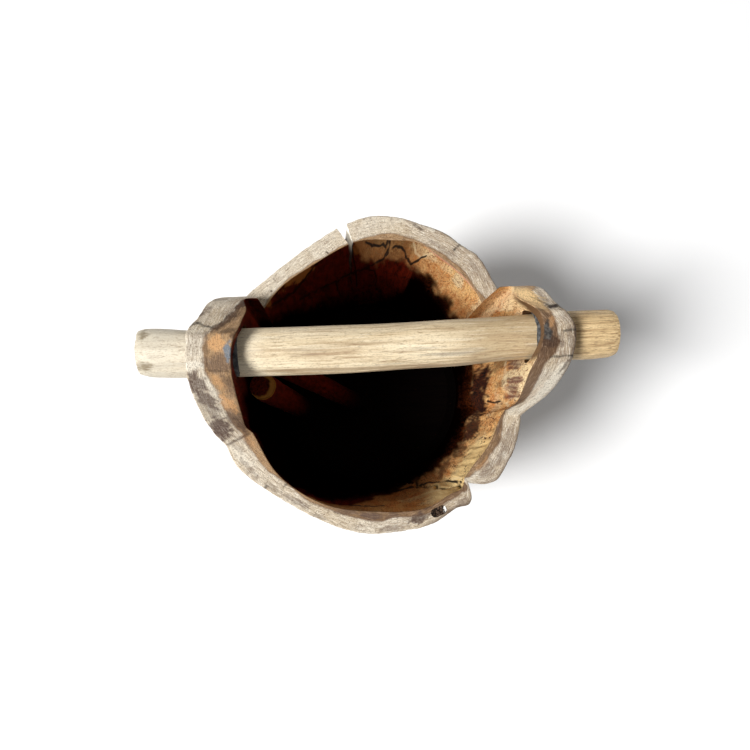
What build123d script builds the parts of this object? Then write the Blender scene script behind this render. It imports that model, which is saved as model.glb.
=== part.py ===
from build123d import *
import math
import os

os.makedirs("parts", exist_ok=True)

# A bucket hollowed from one fluted log. Two stretches of the log's own wall stand up as ears and a natural
# pole runs through both of them as the handle. Millimetres, +Z up. The origin is on the ground, under the
# middle of the pole in X and the middle of the log in Y.

# The log
trunk_radius = 156.0
rim_height = 300.0
wall_thickness = 24.0
ear_crown = 16.0
overrun = 12.0

# The log's outline at the rim, lobe by lobe, anticlockwise from the flute beside the right ear.
# Each point is an angle in degrees, a share of the trunk radius and a share of the wall thickness.
# Two lobes meet in a sharp flute, so each lobe starts where the last one ended.
far_lobe_shares = [
    (31, 0.930, 0.90), (38, 0.950, 0.93), (46, 0.984, 1.07), (54, 0.981, 1.00), (61, 0.992, 0.99),
    (70, 0.993, 0.84), (80, 1.004, 1.02), (94, 0.990, 0.95), (108, 0.938, 0.84), (122, 0.903, 0.73),
    (136, 0.912, 0.68), (144, 0.942, 0.84), (149, 0.960, 0.94),
]
left_ear_lobe_shares = [
    (149, 0.960, 0.94), (151, 1.010, 0.90), (155, 1.047, 1.38), (159, 1.056, 1.56), (165, 1.068, 1.66),
    (168.5, 1.088, 1.74), (172, 1.082, 1.66), (176, 1.077, 1.62), (189, 1.072, 1.58), (197, 1.086, 1.45),
    (201, 1.066, 1.22), (204, 1.045, 1.20),
]
near_lobe_shares = [
    (204, 1.045, 1.20), (211, 1.052, 1.21), (220, 1.022, 0.90), (234, 0.988, 0.65), (250, 0.992, 0.72),
    (264, 1.006, 0.91), (278, 1.000, 0.76), (285, 1.003, 0.71), (291, 0.992, 0.65), (299, 0.987, 0.66),
    (303.3, 0.983, 0.62), (306, 0.890, 0.25),
]
fold_lobe_shares = [
    (306, 0.890, 0.25), (313, 0.992, 1.05), (320, 0.993, 1.07), (327, 0.983, 1.03), (334, 0.960, 0.94),
    (340, 0.938, 0.75),
]
right_ear_lobe_shares = [
    (340, 0.938, 0.75), (344, 0.983, 0.76), (348, 1.030, 1.14), (353, 1.046, 1.38), (360, 1.063, 1.31),
    (368, 1.093, 1.19), (374, 1.055, 0.92), (379, 1.043, 0.98), (383, 1.026, 1.08), (387, 0.985, 0.66),
    (389.5, 0.950, 0.45), (391, 0.930, 0.90),
]
lobe_shares = [
    far_lobe_shares, left_ear_lobe_shares, near_lobe_shares, fold_lobe_shares, right_ear_lobe_shares,
]

# How the log changes with height: share of the rim's height, share of its radius, depth of the flutes
log_station_shares = [(0.0, 0.930, 0.55), (0.45, 0.980, 0.85), (1.0, 1.0, 1.0)]

# The hollow: a trued bore at the foot that widens into a cavity which follows the flutes
foot_wall = 38.0
trued_height = 60.0
bore_step = 1.5
cavity_station_shares = [(0.0, 0.25), (0.45, 0.80), (1.0, 1.0)]

# The bottom board and the groove that holds it
groove_height = 24.0
groove_depth = 7.0
board_edge_thickness = 8.0
board_thickness = 14.0
board_bevel_width = 12.0
board_side_gap = 0.5
board_top_gap = 0.4

# The handle pole
pole_radius = 22.0
pole_stub = 46.0
pole_offset = 20.0
hand_gap = 28.0
pole_end_round = 4.0
# Along the pole: share of its half length, share of its radius, sideways and upward sway as shares of it
pole_station_shares = [
    (-1.0, 1.0, 0.0, 0.0), (-0.90, 1.03, -0.055, 0.0), (-0.79, 0.995, -0.13, 0.0), (-0.58, 0.995, -0.165, 0.0),
    (-0.32, 1.015, -0.20, 0.02), (-0.05, 1.005, -0.215, 0.03), (0.18, 0.99, -0.155, 0.02), (0.36, 0.99, -0.11, 0.01),
    (0.56, 0.955, -0.02, 0.0), (0.79, 1.02, -0.02, 0.03), (0.89, 1.045, -0.03, 0.04), (1.0, 1.02, 0.0, 0.04),
]
left_ear_sway_share = -0.145
right_ear_sway_share = -0.01

# The holes in the ears, and the putty packed over the pole in them
hole_slack = 2.2
seat_gap = 0.3
putty_gap = 0.2
putty_reach = 8.0
putty_inset = 6.0
putty_bead = 4.0

# The sawn tops of the ears: a share of the trunk radius across and a share of the ear's rise
left_near_slope_shares = [(-0.400, 0.0), (-0.300, 0.18), (-0.165, 0.74), (-0.055, 1.0)]
left_far_slope_shares = [(0.180, 1.0), (0.335, 0.76), (0.447, 0.44), (0.505, 0.0)]
right_near_slope_shares = [(-0.310, 0.0), (-0.225, 0.24), (-0.115, 0.76), (-0.030, 1.0)]
right_far_slope_shares = [(0.235, 1.0), (0.345, 0.80), (0.445, 0.48), (0.485, 0.0)]

# The drying split in the far side of the rim
split_inner_angle = 99.0
split_radius_share = 0.817
split_direction = 116.0
split_inner_width = 1.6
split_outer_width = 11.0
split_run = 23.0
split_depth = 190.0
split_foot_width = 0.6

# The dead knot in the near side of the rim
knot_angle = 290.5
knot_length = 16.0
knot_width = 8.6
knot_depth = 20.0
knot_gap = 0.3

# The two loose cut sticks, which stand on the board and lean on the wall under the left ear. A foot is an
# angle and a share of the bore's radius, and a top is an angle and a share of the rim's height.
thick_stick_radius = 14.0
thick_stick_foot_angle = 191.5
thick_stick_foot_share = 0.76
thick_stick_top_angle = 184.8
thick_stick_top_share = 0.967
thin_stick_radius = 12.0
thin_stick_foot_angle = 227.0
thin_stick_foot_share = 0.17
thin_stick_top_angle = 169.0
thin_stick_top_share = 0.893
stick_seat_gap = 0.3
stick_wall_gap = 0.9
stick_chamfer = 1.2

# Sizes that follow from those above
pole_height = rim_height + hand_gap + pole_radius
ear_height = pole_height + pole_radius + ear_crown
ear_rise = ear_height - rim_height
hole_radius = pole_radius + hole_slack
hole_center_height = pole_height - pole_radius - seat_gap + hole_radius
bore_radius = trunk_radius - foot_wall
board_radius = bore_radius + groove_depth - board_side_gap
board_top = groove_height + board_thickness
tongue_top = groove_height + board_edge_thickness
left_ear_row = left_ear_lobe_shares[7]
right_ear_row = right_ear_lobe_shares[5]
knot_row = near_lobe_shares[8]
pole_half = trunk_radius * left_ear_row[1] + pole_stub
log_reach = 2 * trunk_radius


def at_angle(radius, angle):
    """The point at this radius and angle in a level plane."""
    return (radius * math.cos(math.radians(angle)), radius * math.sin(math.radians(angle)))


def bark_side(row):
    """The log's radius at one row of a lobe's table, at the rim."""
    return trunk_radius * row[1]


def hollow_side(row):
    """The cavity's radius at one row of a lobe's table, at the rim."""
    return bark_side(row) - wall_thickness * row[2]


def log_outline(taper, flute):
    """The bark side of the log: one spline for each lobe, joined in sharp flutes."""
    for shares in lobe_shares:
        radii = [taper * (trunk_radius + flute * (bark_side(row) - trunk_radius)) for row in shares]
        Spline(*[at_angle(radius, row[0]) for radius, row in zip(radii, shares)])


def cavity_outline(natural):
    """The hollow: a circle at natural 0, and the log's own lobes less the wall at natural 1."""
    for shares in lobe_shares:
        radii = [
            bore_radius - bore_step + natural * (hollow_side(row) - bore_radius + bore_step) for row in shares
        ]
        Spline(*[at_angle(radius, row[0]) for radius, row in zip(radii, shares)])


def saw_line(near_slope_shares, far_slope_shares):
    """The side view of what the saw left: the level rim with one ear standing on it."""
    near = [(y * trunk_radius, rim_height + z * ear_rise) for y, z in near_slope_shares]
    far = [(y * trunk_radius, rim_height + z * ear_rise) for y, z in far_slope_shares]
    Spline(*near)
    Line(near[-1], far[0])
    Spline(*far)
    Polyline(
        far[-1], (log_reach, rim_height), (log_reach, -overrun), (-log_reach, -overrun),
        (-log_reach, rim_height), near[0],
    )


# The log, hollowed, with its ears
with BuildPart() as sawn_space:
    with BuildSketch(Plane.YZ):
        with BuildLine():
            saw_line(right_near_slope_shares, right_far_slope_shares)
        make_face()
    extrude(amount=log_reach)
    with BuildSketch(Plane.YZ):
        with BuildLine():
            saw_line(left_near_slope_shares, left_far_slope_shares)
        make_face()
    extrude(amount=-log_reach)

with BuildPart() as cavity:
    for height_share, natural in cavity_station_shares:
        with BuildSketch(Plane.XY.offset(trued_height + height_share * (rim_height - trued_height))):
            with BuildLine():
                cavity_outline(natural)
            make_face()
    with BuildSketch(Plane.XY.offset(ear_height + overrun)):
        with BuildLine():
            cavity_outline(1)
        make_face()
    loft()

with BuildPart() as split_wedge:
    split_foot = rim_height - split_depth
    inner_point = at_angle(trunk_radius * split_radius_share, split_inner_angle)
    split_slope = (split_outer_width - split_inner_width) / split_run
    wedge_start = -overrun / 2
    wedge_end = split_run + overrun
    for height, narrowing in ((rim_height + overrun, 1), (split_foot, split_foot_width / split_outer_width)):
        wedge_plane = Plane(
            (inner_point[0], inner_point[1], height), x_dir=(*at_angle(1, split_direction), 0), z_dir=(0, 0, 1)
        )
        near_half = split_inner_width * narrowing / 2
        far_half = (split_inner_width + split_slope * wedge_end) * narrowing / 2
        with BuildSketch(wedge_plane):
            Polygon(
                (wedge_start, -near_half), (wedge_end, -far_half), (wedge_end, far_half),
                (wedge_start, near_half), align=None,
            )
    loft(ruled=True)

with BuildPart() as trunk_shell:
    for height_share, taper, flute in log_station_shares:
        with BuildSketch(Plane.XY.offset(height_share * rim_height)):
            with BuildLine():
                log_outline(taper, flute)
            make_face()
    with BuildSketch(Plane.XY.offset(ear_height + overrun)):
        with BuildLine():
            log_outline(1, 1)
        make_face()
    loft()
    add(sawn_space.part, mode=Mode.INTERSECT)
    add(cavity.part, mode=Mode.SUBTRACT)
    # the far rim is sawn level from flute to flute, so each ear ends at its own flute
    with BuildSketch(Plane.XY.offset(rim_height)):
        with BuildLine():
            Polyline(
                (0, 0), at_angle(log_reach, far_lobe_shares[0][0]), at_angle(2 * log_reach, far_lobe_shares[4][0]),
                at_angle(2 * log_reach, far_lobe_shares[-2][0]), at_angle(log_reach, far_lobe_shares[-1][0]), (0, 0),
            )
        make_face()
    extrude(amount=ear_rise + overrun, mode=Mode.SUBTRACT)
    # the trued bore, open at the foot, and the groove for the board
    with BuildSketch(Plane.XY.offset(-overrun)):
        Circle(bore_radius)
    extrude(amount=trued_height + overrun, mode=Mode.SUBTRACT)
    with BuildSketch(Plane.XY.offset(groove_height)):
        Circle(bore_radius + groove_depth)
    extrude(amount=board_edge_thickness + board_top_gap, mode=Mode.SUBTRACT)
    # the pole holes, one through each ear, where the bent pole passes it
    for side, ear_sway in ((-1, left_ear_sway_share), (1, right_ear_sway_share)):
        with BuildSketch(Plane.YZ):
            with Locations((pole_offset + ear_sway * pole_radius, hole_center_height)):
                Circle(hole_radius)
        extrude(amount=side * log_reach, mode=Mode.SUBTRACT)
    add(split_wedge.part, mode=Mode.SUBTRACT)
    # the hole where the dead knot sits
    knot_radius = (bark_side(knot_row) + hollow_side(knot_row)) / 2
    knot_plane = Plane(
        (*at_angle(knot_radius, knot_angle), rim_height - knot_depth),
        x_dir=(*at_angle(1, knot_angle + 90), 0), z_dir=(0, 0, 1),
    )
    with BuildSketch(knot_plane):
        SlotOverall(knot_length, knot_width)
    extrude(amount=knot_depth + overrun, mode=Mode.SUBTRACT)
trunk_shell.part.label = "trunk_shell"
export_step(trunk_shell.part, "parts/trunk_shell.step")

# The bottom board, a disc whose top is bevelled down to the groove
with BuildPart() as bottom_board:
    with BuildSketch(Plane.XZ):
        Polygon(
            (0, groove_height), (board_radius, groove_height), (board_radius, tongue_top),
            (bore_radius - board_side_gap, tongue_top),
            (bore_radius - board_side_gap - board_bevel_width, board_top), (0, board_top), align=None,
        )
    revolve(axis=Axis.Z)
bottom_board.part.label = "bottom_board"
export_step(bottom_board.part, "parts/bottom_board.step")


def pole_form(gap):
    """The pole's loft through its stations, thicker all round by a gap."""
    with BuildPart() as form:
        for along, thickness, sway, lift in pole_station_shares:
            station = Plane(
                (along * pole_half, pole_offset + sway * pole_radius, pole_height + lift * pole_radius),
                x_dir=(0, 1, 0), z_dir=(1, 0, 0),
            )
            with BuildSketch(station):
                Circle(thickness * pole_radius + gap)
        loft()
    return form.part


# The handle, one natural pole
with BuildPart() as handle_pole:
    add(pole_form(0))
    cut_ends = handle_pole.faces().sort_by(Axis.X)
    fillet(cut_ends[0].edges() + cut_ends[-1].edges(), pole_end_round)
handle_pole.part.label = "handle_pole"
export_step(handle_pole.part, "parts/handle_pole.step")

# The putty over the pole in each ear, a crescent with a bead that stands into the bucket
for name, side, ear_row, ear_sway in (
    ("left_filler", -1, left_ear_row, left_ear_sway_share), ("right_filler", 1, right_ear_row, right_ear_sway_share),
):
    with BuildPart() as filler:
        inner_end = hollow_side(ear_row) - putty_bead
        hole_offset = pole_offset + ear_sway * pole_radius
        with BuildSketch(Plane.YZ.offset(side * inner_end)):
            with Locations((hole_offset, hole_center_height)):
                Circle(hole_radius - putty_gap)
            with Locations((hole_offset, pole_height + putty_reach - hole_radius)):
                Rectangle(2 * hole_radius + overrun, 2 * hole_radius, mode=Mode.SUBTRACT)
        extrude(amount=side * (bark_side(ear_row) - putty_inset - inner_end))
        add(pole_form(putty_gap), mode=Mode.SUBTRACT)
    filler.part.label = name
    export_step(filler.part, "parts/" + name + ".step")

# The dead knot, loose in its hole
with BuildPart() as rim_knot:
    with BuildSketch(knot_plane.offset(knot_gap)):
        SlotOverall(knot_length - 2 * knot_gap, knot_width - 2 * knot_gap)
    extrude(amount=knot_depth - 2 * knot_gap)
rim_knot.part.label = "rim_knot"
export_step(rim_knot.part, "parts/rim_knot.step")


def cut_stick(name, radius, foot_angle, foot_share, top_angle, top_share):
    """A straight stick sawn square at both ends, whose lowest edge stands on the board."""
    foot_height = board_top + stick_seat_gap
    foot = at_angle(bore_radius * foot_share, foot_angle)
    wall_at_top = hollow_side(left_ear_row) - radius - stick_wall_gap
    end = Vector(*at_angle(wall_at_top, top_angle), rim_height * top_share)
    lean = math.radians((end - Vector(*foot, foot_height)).get_angle(Vector(0, 0, 1)))
    start = Vector(*foot, foot_height + radius * math.sin(lean))
    with BuildPart() as stick:
        with BuildSketch(Plane(start, z_dir=end - start)):
            Circle(radius)
        extrude(amount=(end - start).length)
        chamfer(stick.edges().filter_by(GeomType.CIRCLE), stick_chamfer)
    stick.part.label = name
    export_step(stick.part, "parts/" + name + ".step")


cut_stick(
    "thick_stick", thick_stick_radius, thick_stick_foot_angle, thick_stick_foot_share,
    thick_stick_top_angle, thick_stick_top_share,
)
cut_stick(
    "thin_stick", thin_stick_radius, thin_stick_foot_angle, thin_stick_foot_share,
    thin_stick_top_angle, thin_stick_top_share,
)
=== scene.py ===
# %% [markdown]
# A bucket hollowed from one fluted log, with a pole through its two ears, seen from straight above.
# The real one is a single natural form with sawn faces on top, so nearly all of the look is wood: pale
# sapwood and brown heartwood on the saw cuts, a hollow whose lower part is painted near black as shade, and a
# rubbed pole. The imported model is loaded first, because every piece made here has to fill the space that a
# imported piece fills.

# %% Load the frame
import math

import bpy
import numpy as np
from mathutils import Matrix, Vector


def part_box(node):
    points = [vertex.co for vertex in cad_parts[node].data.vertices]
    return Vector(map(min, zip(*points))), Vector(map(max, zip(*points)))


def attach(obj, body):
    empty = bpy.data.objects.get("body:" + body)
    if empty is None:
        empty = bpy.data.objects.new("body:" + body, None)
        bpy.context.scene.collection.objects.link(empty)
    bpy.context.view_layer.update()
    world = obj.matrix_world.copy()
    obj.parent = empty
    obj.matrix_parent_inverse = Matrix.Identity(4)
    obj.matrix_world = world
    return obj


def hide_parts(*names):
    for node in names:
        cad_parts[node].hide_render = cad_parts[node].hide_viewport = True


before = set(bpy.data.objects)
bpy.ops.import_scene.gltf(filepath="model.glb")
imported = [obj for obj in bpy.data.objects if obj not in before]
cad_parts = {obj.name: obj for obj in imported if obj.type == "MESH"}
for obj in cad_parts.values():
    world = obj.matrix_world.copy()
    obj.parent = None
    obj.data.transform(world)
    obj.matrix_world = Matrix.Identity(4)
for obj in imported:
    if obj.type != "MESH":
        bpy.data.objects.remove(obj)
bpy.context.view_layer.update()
mm = 0.001
print("packed pieces:", sorted(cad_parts))

# %% [markdown]
# The sizes. The log and the pole have named sizes of their own, in metres. The height of the ears, the length
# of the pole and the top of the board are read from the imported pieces, so that a change there carries over.

# %% Sizes of the log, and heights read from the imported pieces
trunk_radius = 156 * mm
rim_height = 300 * mm
wall_thickness = 24 * mm
trued_height = 60 * mm
bore_radius = 118 * mm
bore_step = 1.5 * mm
groove_height = 24 * mm
groove_depth = 7 * mm
groove_width = 8.4 * mm
hole_slack = 2.2 * mm

pole_radius = 22 * mm
pole_half = float(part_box("handle_pole")[1][0])
pole_height = 350 * mm
pole_offset = 20 * mm
ear_height = float(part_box("trunk_shell")[1][2])
ear_rise = ear_height - rim_height
hole_radius = pole_radius + hole_slack
hole_seat_gap = 0.3 * mm
hole_height = pole_height - pole_radius - hole_seat_gap + hole_radius
left_ear_sway_share = -0.145
right_ear_sway_share = -0.01
board_top = float(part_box("bottom_board")[1][2])
print("ear height", round(ear_height, 4), "pole half length", round(pole_half, 4))

# %% [markdown]
# The camera comes before any surface, because painted details are placed by what the photograph shows.
# Three marks fix it: the point straight below the lens, and the two ends of the pole, which lie at one known
# height and a known distance apart. From them follow the tilt and the roll; the height of the lens is given.

# %% The camera, from three marks in the photograph
photo_size_px = 750
focal_length_px = 705.5
nadir_px = (345.0, 450.0)
pole_left_px = (134.0, 353.0)
pole_right_px = (618.0, 333.0)
camera_height = 982.8 * mm
sensor_width_mm = 36.0


def ray_of(pixel):
    """The direction through a pixel in the camera's own axes: x right, y up, z backwards."""
    middle = photo_size_px / 2
    return np.array([pixel[0] - middle, middle - pixel[1], -focal_length_px]) / focal_length_px


def unit(vector):
    return vector / np.linalg.norm(vector)


def put(name, data, axes=None, place=None):
    """A new object in the scene, turned to the given axes and moved to the given place."""
    made = bpy.data.objects.new(name, data)
    if axes is not None:
        matrix = np.eye(4)
        matrix[:3, :3] = axes
        matrix[:3, 3] = place
        made.matrix_world = Matrix(matrix)
    bpy.context.scene.collection.objects.link(made)
    return made


up = -unit(ray_of(nadir_px))
left_end, right_end = (
    ray_of(pixel) * (camera_height - pole_height) / -(ray_of(pixel) @ up)
    for pixel in (pole_left_px, pole_right_px)
)
along_pole = unit(right_end - left_end)
across_pole = np.cross(up, along_pole)
to_world = np.stack([along_pole, across_pole, up])
pole_middle = np.array([0, pole_offset, pole_height])
camera_place = pole_middle - to_world @ ((left_end + right_end) / 2)

camera_data = bpy.data.cameras.new("photo_camera")
camera_data.sensor_width = sensor_width_mm
camera_data.lens = sensor_width_mm * focal_length_px / photo_size_px
camera_data.clip_start = 0.01
bpy.context.scene.camera = put("photo_camera", camera_data, to_world, camera_place)
print("camera at", np.round(camera_place, 4), "lens", round(camera_data.lens, 2), "mm")

# %% [markdown]
# The log's outline. A fluted trunk is several lobes that meet in sharp flutes, so one smooth curve all round
# would be wrong. Each lobe has a short table of its own: an angle, a share of the trunk's radius and a share
# of the wall's thickness. A natural cubic spline runs through each table, and where two lobes meet the curve
# may break.

# %% The lobes' tables
far_lobe_shares = [
    (31, 0.930, 0.90), (38, 0.950, 0.93), (46, 0.984, 1.07), (54, 0.981, 1.00), (61, 0.992, 0.99),
    (70, 0.993, 0.84), (80, 1.004, 1.02), (94, 0.990, 0.95), (108, 0.938, 0.84), (122, 0.903, 0.73),
    (136, 0.912, 0.68), (144, 0.942, 0.84), (149, 0.960, 0.94),
]
left_ear_lobe_shares = [
    (149, 0.960, 0.94), (151, 1.010, 0.90), (155, 1.047, 1.38), (159, 1.056, 1.56), (165, 1.068, 1.66),
    (168.5, 1.088, 1.74), (172, 1.082, 1.66), (176, 1.077, 1.62), (189, 1.072, 1.58), (197, 1.086, 1.45),
    (201, 1.066, 1.22), (204, 1.045, 1.20),
]
near_lobe_shares = [
    (204, 1.045, 1.20), (211, 1.052, 1.21), (220, 1.022, 0.90), (234, 0.988, 0.65), (250, 0.992, 0.72),
    (264, 1.006, 0.91), (278, 1.000, 0.76), (285, 1.003, 0.71), (291, 0.992, 0.65), (299, 0.987, 0.66),
    (303.3, 0.983, 0.62), (306, 0.890, 0.25),
]
fold_lobe_shares = [
    (306, 0.890, 0.25), (313, 0.992, 1.05), (320, 0.993, 1.07), (327, 0.983, 1.03), (334, 0.960, 0.94),
    (340, 0.938, 0.75),
]
right_ear_lobe_shares = [
    (340, 0.938, 0.75), (344, 0.983, 0.76), (348, 1.030, 1.14), (353, 1.046, 1.38), (360, 1.063, 1.31),
    (368, 1.093, 1.19), (374, 1.055, 0.92), (379, 1.043, 0.98), (383, 1.026, 1.08), (387, 0.985, 0.66),
    (389.5, 0.950, 0.45), (391, 0.930, 0.90),
]
lobes = [far_lobe_shares, left_ear_lobe_shares, near_lobe_shares, fold_lobe_shares, right_ear_lobe_shares]
first_angle = far_lobe_shares[0][0]
print("lobes:", len(lobes))

# %% Curves through a table


def natural_spline(knots, values, places):
    """A cubic curve through (knots, values) that doesn't bend at either end, read at the given places."""
    knots, values = np.asarray(knots, float), np.asarray(values, float)
    gaps, slopes = np.diff(knots), np.diff(values) / np.diff(knots)
    inner = np.arange(1, len(knots) - 1)
    system = np.eye(len(knots))
    system[inner, inner - 1] = gaps[:-1]
    system[inner, inner] = 2 * (gaps[:-1] + gaps[1:])
    system[inner, inner + 1] = gaps[1:]
    right_side = np.zeros(len(knots))
    right_side[inner] = 6 * np.diff(slopes)
    bends = np.linalg.solve(system, right_side)
    span = np.clip(np.searchsorted(knots, places) - 1, 0, len(knots) - 2)
    before, after, gap = places - knots[span], knots[span + 1] - places, gaps[span]
    return (
        (bends[span] * after**3 + bends[span + 1] * before**3) / (6 * gap)
        + (values[span] / gap - bends[span] * gap / 6) * after
        + (values[span + 1] / gap - bends[span + 1] * gap / 6) * before
    )


def table_angle(angles):
    """Angles in degrees, brought by whole turns into the range that the tables cover."""
    return (np.asarray(angles, float) - first_angle) % 360 + first_angle


def lobe_value(angles, column):
    """One column of the lobes' tables at angles in degrees, each lobe on its own curve."""
    turned = table_angle(angles)
    result = np.empty_like(turned)
    for table in lobes:
        inside = (turned >= table[0][0]) & (turned <= table[-1][0])
        knots = [row[0] for row in table]
        result[inside] = natural_spline(knots, [row[column] for row in table], turned[inside])
    return result


def smooth(edge_low, edge_high, value):
    """0 below the first edge, 1 above the second, and an S-shaped step between them."""
    share = np.clip((value - edge_low) / (edge_high - edge_low), 0, 1)
    return share * share * (3 - 2 * share)


def window(value, start, full, last_full, end):
    """1 in a range of a value and 0 outside it, with an S-shaped step at each side."""
    return smooth(start, full, value) * smooth(end, last_full, value)


def bark_radius(angles, heights):
    """The log's radius: the lobes' curve, with shallower flutes and a little less girth low down."""
    share = np.clip(np.asarray(heights) / rim_height, 0, 1)
    taper = 0.93 + 0.07 * (1 - (1 - share) ** 1.8)
    flute = 0.55 + 0.45 * (1 - (1 - share) ** 1.7)
    return taper * trunk_radius * (1 + flute * (lobe_value(angles, 1) - 1))


def hollow_radius(angles, heights):
    """The cavity's radius: the lobes less the wall at the rim, and closer to a plain circle low down."""
    share = np.clip((np.asarray(heights) - trued_height) / (rim_height - trued_height), 0, 1)
    natural = 0.25 + 0.75 * (1 - (1 - share) ** 2.2)
    hollow = trunk_radius * lobe_value(angles, 1) - wall_thickness * lobe_value(angles, 2)
    start = bore_radius - bore_step
    return start + natural * (hollow - start)


print("rim radius at the split", round(float(bark_radius(np.array([101.0]), 0.3)[0]), 4))

# %% [markdown]
# The saw left the rim level and cut each ear with two slopes and a flat top. Each cut ran along X, so the
# height of a sawn face depends on Y alone, with one profile for the left ear and one for the right.

# %% The saw's profiles
left_near_slope_shares = [(-0.400, 0.0), (-0.300, 0.18), (-0.165, 0.74), (-0.055, 1.0)]
left_far_slope_shares = [(0.180, 1.0), (0.335, 0.76), (0.447, 0.44), (0.505, 0.0)]
right_near_slope_shares = [(-0.310, 0.0), (-0.225, 0.24), (-0.115, 0.76), (-0.030, 1.0)]
right_far_slope_shares = [(0.235, 1.0), (0.345, 0.80), (0.445, 0.48), (0.485, 0.0)]


def ear_profile(y, near_slope, far_slope):
    """The share of the ear's rise at y: 0 beside the ear, the two slopes' curves, and 1 on its flat top."""
    across = y / trunk_radius
    share = np.zeros_like(across)
    for slope in (near_slope, far_slope):
        inside = (across >= slope[0][0]) & (across <= slope[-1][0])
        share[inside] = natural_spline([p[0] for p in slope], [p[1] for p in slope], across[inside])
    share[(across > near_slope[-1][0]) & (across < far_slope[0][0])] = 1
    return np.clip(share, 0, 1)


def saw_height(x, y):
    """The height of the sawn face over a point of the plan. The far rim is level from flute to flute."""
    x, y = np.broadcast_arrays(np.asarray(x, float), np.asarray(y, float))
    left = ear_profile(y, left_near_slope_shares, left_far_slope_shares)
    right = ear_profile(y, right_near_slope_shares, right_far_slope_shares)
    angles = np.degrees(np.arctan2(y, x))
    on_far_rim = (angles > far_lobe_shares[0][0] - 1e-6) & (angles < far_lobe_shares[-1][0] - 1e-6)
    return rim_height + ear_rise * np.where(on_far_rim, 0, np.where(x < 0, left, right))


print("ear tops at", saw_height(np.array([-0.15, 0.15]), np.array([0.01, 0.01])))

# %% [markdown]
# Painted details are placed by pixels of the photograph, but they sit on the real surface. Two small
# functions carry a pixel down its ray: one to the sawn face, the other to the wall of the hollow.

# %% From a pixel to the surface


def at_height(pixel, height):
    """The point of the pixel's ray that lies at a given height."""
    direction = to_world @ ray_of(pixel)
    return camera_place + direction * (camera_place[2] - height) / -direction[2]


def on_saw(pixel):
    """The point of the sawn face that a pixel shows: the height is found by a few half steps."""
    height = rim_height
    for _ in range(24):
        point = at_height(pixel, height)
        height = (height + float(saw_height(point[:1], point[1:2])[0])) / 2
    return at_height(pixel, height)


def angle_of(x, y):
    return np.degrees(np.arctan2(y, x))


def on_hollow(pixel):
    """The point of the hollow's wall that a pixel shows: the first height where the ray is outside it."""
    heights = np.linspace(ear_height, board_top, 700)
    points = np.array([at_height(pixel, height) for height in heights])
    outside = np.hypot(points[:, 0], points[:, 1]) >= hollow_radius(angle_of(*points[:, :2].T), heights)
    low = saw_height(points[:, 0], points[:, 1]) > heights
    found = np.nonzero(outside & low)[0]
    return points[found[0]] if len(found) else points[-1]


print("split's inner end", np.round(on_saw((352, 246)), 4))

# %% [markdown]
# Meshes are made from grids of points. A grid has rows of equal length that close round, and its first and
# last rows are capped, or joined to each other where the whole grid is a ring. The signed volume says
# whether the faces point outwards, and a grid that came out inside out is turned.

# %% Making a closed surface from a grid
hard_edge_angle = 32
wave_count = 22


def closed_surface(name, grid, ring=False, material_rows=None):
    """A mesh object of grid[row, column], columns closed round, rows closed by caps or into a ring."""
    rows, columns, _ = grid.shape
    index = np.arange(rows * columns).reshape(rows, columns)
    lower = index if ring else index[:-1]
    upper = np.roll(index, -1, 0) if ring else index[1:]
    quads = np.stack([lower, np.roll(lower, -1, 1), np.roll(upper, -1, 1), upper], -1).reshape(-1, 4)
    points = grid.reshape(-1, 3)
    corners = points[quads]
    volume = sum(
        np.einsum("ij,ij->i", corners[:, 0], np.cross(corners[:, a], corners[:, a + 1])).sum() for a in (1, 2)
    )
    faces = quads if volume > 0 else quads[:, ::-1]
    caps = [] if ring else [index[0][::-1], index[-1]]
    caps = caps if volume > 0 else [cap[::-1] for cap in caps]
    mesh = bpy.data.meshes.new(name)
    mesh.vertices.add(len(points))
    mesh.vertices.foreach_set("co", points.astype(np.float32).ravel())
    loops = np.concatenate([faces.ravel(), *caps]) if caps else faces.ravel()
    totals = np.array([4] * len(faces) + [columns] * len(caps), np.int32)
    starts = np.concatenate([[0], np.cumsum(totals)[:-1]]).astype(np.int32)
    mesh.loops.add(len(loops))
    mesh.loops.foreach_set("vertex_index", loops.astype(np.int32))
    mesh.polygons.add(len(totals))
    mesh.polygons.foreach_set("loop_start", starts)
    if material_rows is not None:
        per_face = np.repeat(material_rows, columns)
        mesh.polygons.foreach_set("material_index", per_face[: len(totals)].astype(np.int32))
    mesh.update(calc_edges=True)
    mesh.validate()
    return put(name, mesh)


def finish_piece(piece, body, slot, *nodes):
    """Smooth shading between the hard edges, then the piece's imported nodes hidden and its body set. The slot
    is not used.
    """
    piece.data.polygons.foreach_set("use_smooth", np.ones(len(piece.data.polygons), bool))
    piece.data.set_sharp_from_angle(angle=math.radians(hard_edge_angle))
    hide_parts(*nodes)
    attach(piece, body)
    print(piece.name, len(piece.data.polygons), "faces")


def waves(points, size, seed):
    """Smooth noise of about -1 to 1: the mean of many cosine waves that run in random directions."""
    random = np.random.default_rng(seed)
    directions = random.normal(size=(wave_count, 3))
    directions /= np.linalg.norm(directions, axis=1)[:, None]
    lengths = size * random.uniform(0.7, 1.5, wave_count)
    phases = random.uniform(0, 2 * np.pi, wave_count)
    turns = 2 * np.pi * (points @ (directions / lengths[:, None]).T) + phases
    return np.cos(turns).sum(-1) / math.sqrt(wave_count)


def xyz(x, y, z):
    """Points from arrays of x, y and z, which may have any shapes that fit each other."""
    return np.stack(np.broadcast_arrays(x, y, z), -1)


def full_turn(count):
    """So many directions all round, in radians, as one row."""
    return np.linspace(0, 2 * np.pi, count, endpoint=False)[None, :]


print("grid maker ready")

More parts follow.
